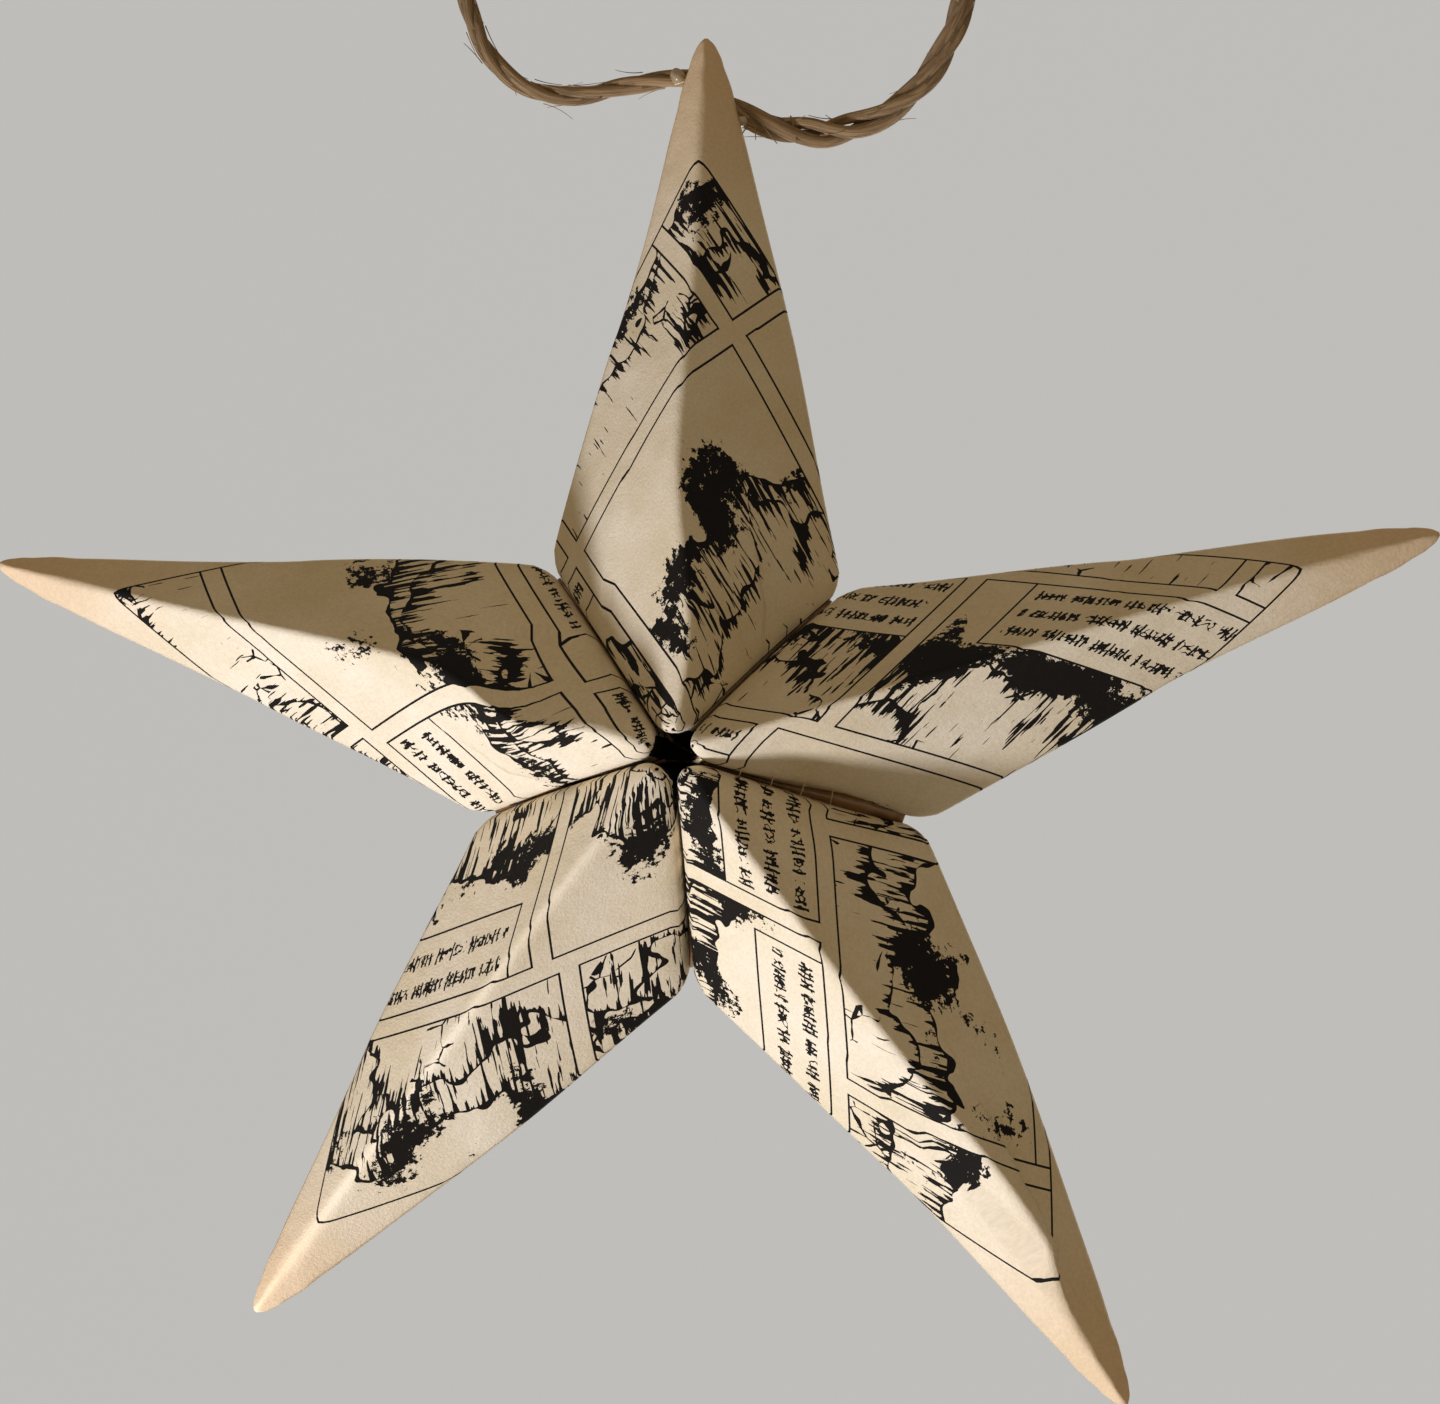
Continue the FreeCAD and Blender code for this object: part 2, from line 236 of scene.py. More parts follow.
@dataclass(frozen=True)
class HandFolding:
    """How far the tips, corners and long sides of this hand-made star stand from the ideal ones.

    Each row is a place in the plane of the star, from its middle, and its shift, in millimetres to the
    right and up. A thin plate bends smoothly through them all.
    """

    layout: StarLayout
    rows: tuple[tuple[Pair, Pair], ...] = (
        ((0.0, 0.0), (0.0, 0.0)),
        ((0.0, 66.7), (-0.3, -1.4)),
        ((63.4, 20.6), (1.8, 0.0)),
        ((39.2, -53.9), (0.1, -1.5)),
        ((-39.2, -53.9), (0.5, 3.5)),
        ((-63.4, 20.6), (-1.6, -3.7)),
        ((12.6, 17.0), (0.3, -0.9)),
        ((20.0, -6.5), (0.3, 1.1)),
        ((0.4, -20.7), (-0.6, 0.7)),
        ((-19.0, -6.5), (-0.7, 1.0)),
        ((-11.2, 16.3), (-2.4, 1.0)),
        ((-6.3, 42.9), (-1.0, -1.1)),
        ((7.2, 41.6), (0.5, -1.0)),
        ((37.5, 19.4), (1.4, -0.8)),
        ((42.4, 6.5), (0.6, 1.3)),
        ((30.3, -29.7), (1.0, -0.4)),
        ((19.6, -37.9), (0.4, 0.1)),
        ((-18.1, -37.3), (-0.5, 1.1)),
        ((-29.0, -28.5), (-1.2, 0.7)),
        ((-41.7, 6.4), (-0.6, -1.1)),
        ((-37.5, 19.3), (-1.8, -1.5)),
    )

    def weights(self) -> np.ndarray:
        """The pull of each row, and the three flat terms."""
        places = np.array([row[0] for row in self.rows])
        shifts = np.array([row[1] for row in self.rows])
        flat = np.hstack((np.ones((len(places), 1)), places))
        system = np.block([[self.kernel(places, places), flat], [flat.T, np.zeros((3, 3))]])
        return np.linalg.solve(system, np.vstack((shifts, np.zeros((3, 2)))))

    @staticmethod
    def kernel(places: np.ndarray, others: np.ndarray) -> np.ndarray:
        """The thin plate's pull between every two places."""
        square = ((places[:, None, :] - others[None, :, :]) ** 2).sum(axis=2)
        return square * np.log(square + 1e-9)

    def bend(self, places: np.ndarray) -> np.ndarray:
        """Shifts places of the star in its plane, one row each, in millimetres."""
        weights = self.weights()
        middle = np.array((0.0, self.layout.centre_z))
        flat = places[:, (0, 2)] - middle
        known = np.array([row[0] for row in self.rows])
        terms = np.hstack((self.kernel(flat, known), np.ones((len(flat), 1)), flat))
        moved = places.copy()
        moved[:, (0, 2)] += terms @ weights
        return moved


@dataclass(frozen=True)
class AgedPage:
    """Old uncoated wood-pulp book paper, printed with black line work.

    Wood pulp yellows to a creamy tan, most at the page's edges, and stays matt and faintly mottled. The
    ink is matt black with hard edges. Patterns read the page in millimetres, so they run over the folds.
    """

    fresh: str = "#E9DBC3"
    mottled: str = "#D9C7A2"
    edge: str = "#DFBF98"
    # the colour of the print, also used for the painted shade deep in the centre hole
    ink: str = "#130F0B"
    panel_width: float = 25.0
    panel_spread: float = 16.0
    tier_height: float = 27.0
    gutter: float = 1.0
    margin: float = 10.0
    line: float = 0.11
    type_pitch: float = 3.1
    letter: float = 0.6
    pen: float = 0.13

    def build(self) -> bpy.types.Material:
        """Makes the material.

        Returns:
            The printed page, for UV coordinates that hold the page in millimetres.
        """
        material = bpy.data.materials.new("aged_newsprint_page")
        material.use_nodes = True
        tree = material.node_tree
        tree.nodes.clear()
        page = add_node(tree, "ShaderNodeUVMap", {"uv_map": "page"}).outputs[0]
        leaf = add_node(tree, "ShaderNodeAttribute", {"attribute_name": "leaf"}).outputs["Fac"]
        # painted shade: where this attribute is high, the walls deep in the centre hole are painted solid
        # black
        end = add_node(tree, "ShaderNodeAttribute", {"attribute_name": "inked_end"}).outputs["Fac"]
        hole_shade_mask = add_node(tree, MATH, {"operation": "GREATER_THAN", 1: 0.4}, {0: end}).outputs[0]
        drawing = self.print_mask(tree, page, leaf)
        # the print and the painted shade of the centre hole in one mask, both in the ink colour
        ink = add_node(tree, MATH, {"operation": "MAXIMUM"}, {0: drawing, 1: hole_shade_mask}).outputs[0]
        paper, bump_height = self.paper_colour(tree, page, leaf)
        colour = add_node(
            tree,
            MIX,
            {"data_type": "RGBA", 7: linear(self.ink)},
            {0: ink, 6: paper},
        ).outputs[2]
        rough = add_node(
            tree, RANGE, {"To Min": 0.88, "To Max": 0.8}, {"Value": ink}
        ).outputs[0]
        bump = add_node(
            tree, BUMP, {"Strength": 0.35, "Distance": 0.0002}, {"Height": bump_height}
        ).outputs[0]
        surface = add_node(
            tree,
            "ShaderNodeBsdfPrincipled",
            {"IOR": 1.45, "Specular IOR Level": 0.18},
            {"Base Color": colour, "Roughness": rough, "Normal": bump},
        ).outputs[0]
        add_node(tree, "ShaderNodeOutputMaterial", None, {"Surface": surface})
        return material

    def paper_colour(
        self, tree: bpy.types.NodeTree, page: Socket, leaf: Socket
    ) -> tuple[Socket, Socket]:
        """The bare page's colour and its height for the bump.

        Args:
            tree: The material's tree.
            page: The page's coordinates in millimetres.
            leaf: A number that differs from point to point.

        Returns:
            The colour and the height.
        """
        place = add_node(
            tree, VECTOR, {"operation": "ADD"}, {0: page, 1: leaf}
        ).outputs[0]
        blotch = add_node(
            tree, NOISE, {"Scale": 0.09, "Detail": 3.0, "Roughness": 0.6}, {"Vector": place}
        ).outputs[0]
        # pulp fibres are about 0.03 mm wide, drawn 0.3 mm wide so that they show
        pulp = add_node(
            tree, NOISE, {"Scale": 3.2, "Detail": 3.0, "Roughness": 0.7}, {"Vector": place}
        ).outputs[0]
        spread = add_node(
            tree,
            RANGE,
            {"From Min": 0.35, "From Max": 0.7, "To Max": 0.75},
            {"Value": blotch},
        ).outputs[0]
        aged = add_node(
            tree,
            MIX,
            {"data_type": "RGBA", 6: linear(self.fresh), 7: linear(self.mottled)},
            {0: spread},
        ).outputs[2]
        sides = add_node(tree, "ShaderNodeSeparateXYZ", None, {0: page})
        rim = add_node(
            tree,
            MATH,
            {"operation": "MINIMUM"},
            {0: sides.outputs[0], 1: sides.outputs[1]},
        ).outputs[0]
        corner = add_node(
            tree, MATH, {"operation": "ADD"}, {0: sides.outputs[0], 1: sides.outputs[1]}
        ).outputs[0]
        rim_share = add_node(
            tree,
            RANGE,
            {"interpolation_type": "SMOOTHSTEP", "From Min": 13.0, "From Max": 0.0, "To Max": 0.45},
            {"Value": rim},
        ).outputs[0]
        corner_share = add_node(
            tree,
            RANGE,
            {"interpolation_type": "SMOOTHSTEP", "From Min": 34.0, "From Max": 4.0, "To Max": 0.75},
            {"Value": corner},
        ).outputs[0]
        browned = add_node(
            tree, MATH, {"operation": "MAXIMUM"}, {0: rim_share, 1: corner_share}
        ).outputs[0]
        toned = add_node(
            tree,
            MIX,
            {"data_type": "RGBA", 7: linear(self.edge)},
            {0: browned, 6: aged},
        ).outputs[2]
        grain = add_node(
            tree,
            RANGE,
            {"From Min": 0.3, "From Max": 0.7, "To Min": 0.9, "To Max": 1.06},
            {"Value": pulp},
        ).outputs[0]
        colour = add_node(
            tree,
            VECTOR,
            {"operation": "SCALE"},
            {0: toned, "Scale": grain},
        ).outputs[0]
        cockle = add_node(
            tree, NOISE, {"Scale": 0.35, "Detail": 2.0}, {"Vector": place}
        ).outputs[0]
        height = add_node(
            tree,
            MATH,
            {"operation": "MULTIPLY_ADD", 1: 2.0},
            {0: cockle, 2: pulp},
        ).outputs[0]
        return colour, height

    def print_mask(self, tree: bpy.types.NodeTree, page: Socket, leaf: Socket) -> Socket:
        """The black line work: ruled panels, captions too rough to read, and brushed scenery.

        Args:
            tree: The material's tree.
            page: The page's coordinates in millimetres.
            leaf: A number that differs from point to point.

        Returns:
            1 on ink and 0 on bare paper.
        """
        sides = add_node(tree, "ShaderNodeSeparateXYZ", None, {0: page})
        named = {"page": page, "leaf": leaf, "across": sides.outputs[0], "down": sides.outputs[1]}
        for part in (self.panel_rows(), self.caption_rows(), self.scenery_rows(), self.margin_rows()):
            for result, kind, settings, links in part:
                sockets = {place: named[name] for place, name in links.items()}
                named[result] = add_node(tree, kind, settings, sockets).outputs[0]
        return named["print"]

    def panel_rows(self) -> NodeRows:
        """Rows of panels of uneven widths, each with a hand-ruled frame."""
        return (
            ("tenths", MATH, {"operation": "MULTIPLY", 1: 10.0}, {0: "leaf"}),
            # a whole number, so that every sample of a point draws the same chances
            ("number", MATH, {"operation": "ROUND"}, {0: "tenths"}),
            ("down_page", MATH, {"operation": "MULTIPLY_ADD", 1: 0.77}, {0: "number", 2: "down"}),
            ("tier_share", MATH, {"operation": "DIVIDE", 1: self.tier_height}, {0: "down_page"}),
            ("tier", MATH, {"operation": "FLOOR"}, {0: "tier_share"}),
            ("in_down", MATH, {"operation": "FLOORED_MODULO", 1: self.tier_height}, {0: "down_page"}),
            ("tier_cell", COMBINE, {}, {0: "tier", 1: "number"}),
            ("tier_chance", WHITE, {"noise_dimensions": "3D"}, {"Vector": "tier_cell"}),
            (
                "width",
                MATH,
                {"operation": "MULTIPLY_ADD", 1: self.panel_spread, 2: self.panel_width},
                {0: "tier_chance"},
            ),
            ("across_page", MATH, {"operation": "MULTIPLY_ADD", 1: 47.0}, {0: "tier_chance", 2: "across"}),
            ("column_share", MATH, {"operation": "DIVIDE"}, {0: "across_page", 1: "width"}),
            ("column", MATH, {"operation": "FLOOR"}, {0: "column_share"}),
            ("in_across", MATH, {"operation": "FLOORED_MODULO"}, {0: "across_page", 1: "width"}),
            ("cell", COMBINE, {}, {0: "column", 1: "tier", 2: "number"}),
            ("chance", WHITE, {"noise_dimensions": "3D"}, {"Vector": "cell"}),
            ("to_right", MATH, {"operation": "SUBTRACT"}, {0: "width", 1: "in_across"}),
            ("far_across", MATH, {"operation": "MINIMUM"}, {0: "in_across", 1: "to_right"}),
            ("to_foot", MATH, {"operation": "SUBTRACT", 0: self.tier_height}, {1: "in_down"}),
            ("far_down", MATH, {"operation": "MINIMUM"}, {0: "in_down", 1: "to_foot"}),
            ("border", MATH, {"operation": "MINIMUM"}, {0: "far_across", 1: "far_down"}),
            ("frame", MATH, {"operation": "COMPARE", 1: self.gutter, 2: self.line}, {0: "border"}),
            ("inside", MATH, {"operation": "GREATER_THAN", 1: self.gutter}, {0: "border"}),
        )

    def caption_rows(self) -> NodeRows:
        """A box of up to three lines of scribbled type in the upper left of most panels."""
        pitch = self.type_pitch
        return (
            ("line_share", MATH, {"operation": "MULTIPLY_ADD", 1: 3.4, 2: 0.2}, {0: "chance"}),
            ("lines", MATH, {"operation": "FLOOR"}, {0: "line_share"}),
            ("box_down", MATH, {"operation": "MULTIPLY_ADD", 1: pitch, 2: 1.9}, {0: "lines"}),
            ("box_share", MATH, {"operation": "MULTIPLY_ADD", 1: 0.5, 2: 0.45}, {0: "tier_chance"}),
            ("box_across", MATH, {"operation": "MULTIPLY"}, {0: "box_share", 1: "width"}),
            ("past_foot", MATH, {"operation": "SUBTRACT"}, {0: "in_down", 1: "box_down"}),
            ("past_side", MATH, {"operation": "SUBTRACT"}, {0: "in_across", 1: "box_across"}),
            ("past_box", MATH, {"operation": "MAXIMUM"}, {0: "past_foot", 1: "past_side"}),
            ("has_lines", MATH, {"operation": "GREATER_THAN", 1: 0.5}, {0: "lines"}),
            ("box_edge", MATH, {"operation": "COMPARE", 1: 0.45, 2: self.line}, {0: "past_box"}),
            ("box_frame", MATH, {"operation": "MULTIPLY"}, {0: "box_edge", 1: "has_lines"}),
            ("in_frame", MATH, {"operation": "LESS_THAN", 1: 0.45}, {0: "past_box"}),
            ("boxed", MATH, {"operation": "MULTIPLY"}, {0: "in_frame", 1: "has_lines"}),
            ("unboxed", MATH, {"operation": "SUBTRACT", 0: 1.0}, {1: "boxed"}),
            ("wobble", NOISE, {"Scale": 0.9, "Detail": 1.0}, {"Vector": "page"}),
            ("type_across", MATH, {"operation": "MULTIPLY_ADD", 1: 0.5}, {0: "wobble", 2: "in_across"}),
            ("type_down", MATH, {"operation": "MULTIPLY_ADD", 1: 0.4}, {0: "wobble", 2: "in_down"}),
            ("line_start", MATH, {"operation": "SUBTRACT", 1: 1.6}, {0: "type_down"}),
            ("line_part", MATH, {"operation": "DIVIDE", 1: pitch}, {0: "line_start"}),
            ("line_number", MATH, {"operation": "FLOOR"}, {0: "line_part"}),
            ("line_rest", MATH, {"operation": "FLOORED_MODULO", 1: pitch}, {0: "line_start"}),
            ("off_line", MATH, {"operation": "SUBTRACT", 1: pitch / 2}, {0: "line_rest"}),
            ("stroke_part", MATH, {"operation": "DIVIDE", 1: self.letter}, {0: "type_across"}),
            ("stroke", MATH, {"operation": "FLOOR"}, {0: "stroke_part"}),
            ("in_stroke", MATH, {"operation": "FLOORED_MODULO", 1: self.letter}, {0: "type_across"}),
            ("stroke_cell", COMBINE, {}, {0: "stroke", 1: "line_number", 2: "chance"}),
            ("stroke_chance", WHITE, {"noise_dimensions": "3D"}, {"Vector": "stroke_cell"}),
            ("stem", MATH, {"operation": "COMPARE", 1: self.letter / 2, 2: self.pen}, {0: "in_stroke"}),
            ("reach", MATH, {"operation": "MULTIPLY_ADD", 1: 0.5, 2: 0.4}, {0: "stroke_chance"}),
            ("tall", MATH, {"operation": "COMPARE", 1: 0.0}, {0: "off_line", 2: "reach"}),
            ("drawn", MATH, {"operation": "GREATER_THAN", 1: 0.22}, {0: "stroke_chance"}),
            ("stems", MATH, {"operation": "MULTIPLY"}, {0: "stem", 1: "tall"}),
            ("some_stems", MATH, {"operation": "MULTIPLY"}, {0: "stems", 1: "drawn"}),
            ("curl", NOISE, {"Scale": 1.1, "Detail": 1.0}, {"Vector": "page"}),
            ("loops", MATH, {"operation": "COMPARE", 1: 0.5, 2: 0.05}, {0: "curl"}),
            ("low", MATH, {"operation": "COMPARE", 1: 0.0, 2: 0.55}, {0: "off_line"}),
            ("low_loops", MATH, {"operation": "MULTIPLY"}, {0: "loops", 1: "low"}),
            ("marks", MATH, {"operation": "MAXIMUM"}, {0: "some_stems", 1: "low_loops"}),
            ("word_place", MATH, {"operation": "MULTIPLY_ADD", 1: 5.0}, {0: "line_number", 2: "stroke"}),
            ("in_word", MATH, {"operation": "FLOORED_MODULO", 1: 9.0}, {0: "word_place"}),
            ("word", MATH, {"operation": "LESS_THAN", 1: 7.5}, {0: "in_word"}),
            ("words", MATH, {"operation": "MULTIPLY"}, {0: "marks", 1: "word"}),
            ("set_in", MATH, {"operation": "LESS_THAN", 1: -0.6}, {0: "past_side"}),
            ("set_down", MATH, {"operation": "LESS_THAN", 1: -0.3}, {0: "past_foot"}),
            ("margin", MATH, {"operation": "GREATER_THAN", 1: 1.7}, {0: "border"}),
            ("set_words", MATH, {"operation": "MULTIPLY"}, {0: "words", 1: "set_in"}),
            ("set_lines", MATH, {"operation": "MULTIPLY"}, {0: "set_words", 1: "set_down"}),
            ("type", MATH, {"operation": "MULTIPLY"}, {0: "set_lines", 1: "margin"}),
            ("caption", MATH, {"operation": "MAXIMUM"}, {0: "type", 1: "box_frame"}),
        )

    def scenery_rows(self) -> NodeRows:
        """Hills, banks, stones and trees in brush and pen, under an open sky."""
        slant = math.radians(38.0)
        return (
            ("drift", VECTOR, {"operation": "MULTIPLY_ADD", 1: (23.1, 41.7, 17.3)}, {0: "leaf", 2: "page"}),
            ("brush", NOISE, {"Scale": 0.5, "Detail": 1.0}, {"Vector": "page"}),
            ("half_line", MATH, {"operation": "MULTIPLY_ADD", 1: 1.1, 2: -0.35}, {0: "brush"}),
            ("far_hills", NOISE, {"Scale": 0.07, "Detail": 3.0}, {"Vector": "drift"}),
            ("skyline_at", MATH, {"operation": "MULTIPLY_ADD", 1: 24.0, 2: 1.5}, {0: "far_hills"}),
            ("below", MATH, {"operation": "SUBTRACT"}, {0: "in_down", 1: "skyline_at"}),
            ("skyline", MATH, {"operation": "COMPARE", 1: 0.0}, {0: "below", 2: "half_line"}),
            ("land", MATH, {"operation": "GREATER_THAN", 1: 0.0}, {0: "below"}),
            ("near_hills", NOISE, {"Scale": 0.1, "Detail": 2.0, "Distortion": 0.5}, {"Vector": "drift"}),
            ("rise", MATH, {"operation": "MULTIPLY_ADD", 1: 26.0, 2: -8.0}, {0: "near_hills"}),
            ("near_below", MATH, {"operation": "SUBTRACT"}, {0: "below", 1: "rise"}),
            ("thick_line", MATH, {"operation": "MULTIPLY", 1: 1.6}, {0: "half_line"}),
            ("bank_line", MATH, {"operation": "COMPARE", 1: 0.0}, {0: "near_below", 2: "thick_line"}),
            ("bank", MATH, {"operation": "GREATER_THAN", 1: 0.0}, {0: "near_below"}),
            (
                "leaning",
                MAPPING,
                {"Rotation": (0.0, 0.0, slant), "Scale": (2.3, 0.2, 1.0)},
                {"Vector": "drift"},
            ),
            ("strokes", NOISE, {"Scale": 1.0, "Detail": 2.0, "Distortion": 0.2}, {"Vector": "leaning"}),
            ("far_shade", RANGE, {1: 0.0, 2: 7.0, 3: 0.12, 4: -0.16}, {0: "below"}),
            ("near_shade", RANGE, {1: 0.0, 2: 4.0, 3: 0.16, 4: -0.12}, {0: "near_below"}),
            ("near_part", MATH, {"operation": "MULTIPLY"}, {0: "near_shade", 1: "bank"}),
            ("shade", MATH, {"operation": "MAXIMUM"}, {0: "far_shade", 1: "near_part"}),
            ("dark_strokes", MATH, {"operation": "ADD"}, {0: "strokes", 1: "shade"}),
            ("hatch", MATH, {"operation": "GREATER_THAN", 1: 0.565}, {0: "dark_strokes"}),
            ("land_hatch", MATH, {"operation": "MULTIPLY"}, {0: "hatch", 1: "land"}),
            ("crowns", NOISE, {"Scale": 0.11, "Detail": 1.0, "Distortion": 0.4}, {"Vector": "drift"}),
            ("leaves", NOISE, {"Scale": 1.2, "Detail": 4.0, "Roughness": 0.68}, {"Vector": "drift"}),
            ("tree_at", MATH, {"operation": "COMPARE", 1: -0.5, 2: 6.0}, {0: "below"}),
            ("off_skyline", MATH, {"operation": "ABSOLUTE"}, {0: "below"}),
            ("crown_height", MATH, {"operation": "MULTIPLY_ADD", 1: -0.035}, {0: "off_skyline", 2: "crowns"}),
            ("crown_edge", MATH, {"operation": "MULTIPLY_ADD", 1: 0.6}, {0: "leaves", 2: "crown_height"}),
            ("crown", MATH, {"operation": "GREATER_THAN", 1: 0.815}, {0: "crown_edge"}),
            ("trees", MATH, {"operation": "MULTIPLY"}, {0: "crown", 1: "tree_at"}),
            (
                "stone_edges",
                "ShaderNodeTexVoronoi",
                {"feature": "DISTANCE_TO_EDGE", "Scale": 0.34},
                {"Vector": "drift"},
            ),
            ("stone_pen", MATH, {"operation": "MULTIPLY", 1: 0.17}, {0: "half_line"}),
            ("stones", MATH, {"operation": "LESS_THAN"}, {0: "stone_edges", 1: "stone_pen"}),
            ("stony", MATH, {"operation": "GREATER_THAN", 1: 0.6}, {0: "crowns"}),
            ("stone_patch", MATH, {"operation": "MULTIPLY"}, {0: "stones", 1: "stony"}),
            ("bank_stones", MATH, {"operation": "MULTIPLY"}, {0: "stone_patch", 1: "bank"}),
            ("lines_drawn", MATH, {"operation": "MAXIMUM"}, {0: "skyline", 1: "bank_line"}),
            ("ground", MATH, {"operation": "MAXIMUM"}, {0: "lines_drawn", 1: "bank_stones"}),
            ("shaded", MATH, {"operation": "MAXIMUM"}, {0: "ground", 1: "land_hatch"}),
            ("scene", MATH, {"operation": "MAXIMUM"}, {0: "shaded", 1: "trees"}),
            ("scenery", MATH, {"operation": "MULTIPLY"}, {0: "scene", 1: "unboxed"}),
        )

    def margin_rows(self) -> NodeRows:
        """The blank margin, the line round the printed part, and all the ink together."""
        return (
            ("filling", MATH, {"operation": "MAXIMUM"}, {0: "caption", 1: "scenery"}),
            ("filled", MATH, {"operation": "MULTIPLY"}, {0: "filling", 1: "inside"}),
            ("panels", MATH, {"operation": "MAXIMUM"}, {0: "filled", 1: "frame"}),
            ("rim", MATH, {"operation": "MINIMUM"}, {0: "across", 1: "down"}),
            ("printed", MATH, {"operation": "GREATER_THAN", 1: self.margin}, {0: "rim"}),
            ("page_frame", MATH, {"operation": "COMPARE", 1: self.margin, 2: self.line}, {0: "rim"}),
            ("inner", MATH, {"operation": "MULTIPLY"}, {0: "panels", 1: "printed"}),
            ("print", MATH, {"operation": "MAXIMUM"}, {0: "inner", 1: "page_frame"}),
        )


@dataclass(frozen=True)
class HotMeltGlue:
    """Clear hot-melt glue from a glue gun: soft-edged, honey-tinted where thick, with a wet gloss."""

    name: str = "hot_melt_glue"
    clear: str = "#EADBBC"
    tint: str = "#D9B98A"
    clearness: float = 0.5

    def build(self) -> bpy.types.Material:
        """Makes the material.

        Returns:
            The glue.
        """
        material = bpy.data.materials.new(self.name)
        material.use_nodes = True
        tree = material.node_tree
        tree.nodes.clear()
        place = add_node(tree, "ShaderNodeTexCoord").outputs["Object"]
        # the melt's ripples are about 1.7 mm apart
        ripple = add_node(tree, NOISE, {"Scale": 600.0, "Detail": 2.0}, {"Vector": place}).outputs[0]
        bump = add_node(
            tree, BUMP, {"Strength": 0.3, "Distance": 0.0003}, {"Height": ripple}
        ).outputs[0]
        cloud = add_node(tree, NOISE, {"Scale": 350.0}, {"Vector": place}).outputs[0]
        colour = add_node(
            tree,
            MIX,
            {"data_type": "RGBA", 6: linear(self.clear), 7: linear(self.tint)},
            {0: cloud},
        ).outputs[2]
        surface = add_node(
            tree,
            "ShaderNodeBsdfPrincipled",
            {"IOR": 1.48, "Roughness": 0.28, "Transmission Weight": self.clearness},
            {"Base Color": colour, "Normal": bump},
        ).outputs[0]
        add_node(tree, "ShaderNodeOutputMaterial", None, {"Surface": surface})
        return material


@dataclass(frozen=True)
class JuteFibre:
    """Natural jute, spun and twisted: long dry fibres from straw to brown, matt with a faint sheen."""

    straw: str = "#B0926B"
    brown: str = "#6B5134"

    def build(self) -> bpy.types.Material:
        """Makes the material.

        Returns:
            The fibre, for an attribute that runs along each ply in millimetres.
        """
        material = bpy.data.materials.new("spun_jute")
        material.use_nodes = True
        tree = material.node_tree
        tree.nodes.clear()
        fibre = add_node(tree, "ShaderNodeAttribute", {"attribute_name": "fibre"}).outputs["Vector"]
        streaks = add_node(
            tree, NOISE, {"Scale": 3.0, "Detail": 3.0, "Roughness": 0.65}, {"Vector": fibre}
        ).outputs[0]
        patches = add_node(
            tree, NOISE, {"Scale": 0.8, "Detail": 1.0}, {"Vector": fibre}
        ).outputs[0]
        worn = add_node(
            tree, MATH, {"operation": "MULTIPLY_ADD", 1: 0.4}, {0: patches, 2: streaks}
        ).outputs[0]
        share = add_node(tree, RANGE, {"From Min": 0.5, "From Max": 0.9}, {"Value": worn}).outputs[0]
        colour = add_node(
            tree,
            MIX,
            {"data_type": "RGBA", 6: linear(self.brown), 7: linear(self.straw)},
            {0: share},
        ).outputs[2]
        bump = add_node(
            tree, BUMP, {"Strength": 0.7, "Distance": 0.0003}, {"Height": streaks}
        ).outputs[0]
        surface = add_node(
            tree,
            "ShaderNodeBsdfPrincipled",
            {"Roughness": 0.85, "Sheen Weight": 0.15, "Specular IOR Level": 0.3},
            {"Base Color": colour, "Normal": bump},
        ).outputs[0]
        add_node(tree, "ShaderNodeOutputMaterial", None, {"Surface": surface})
        return material


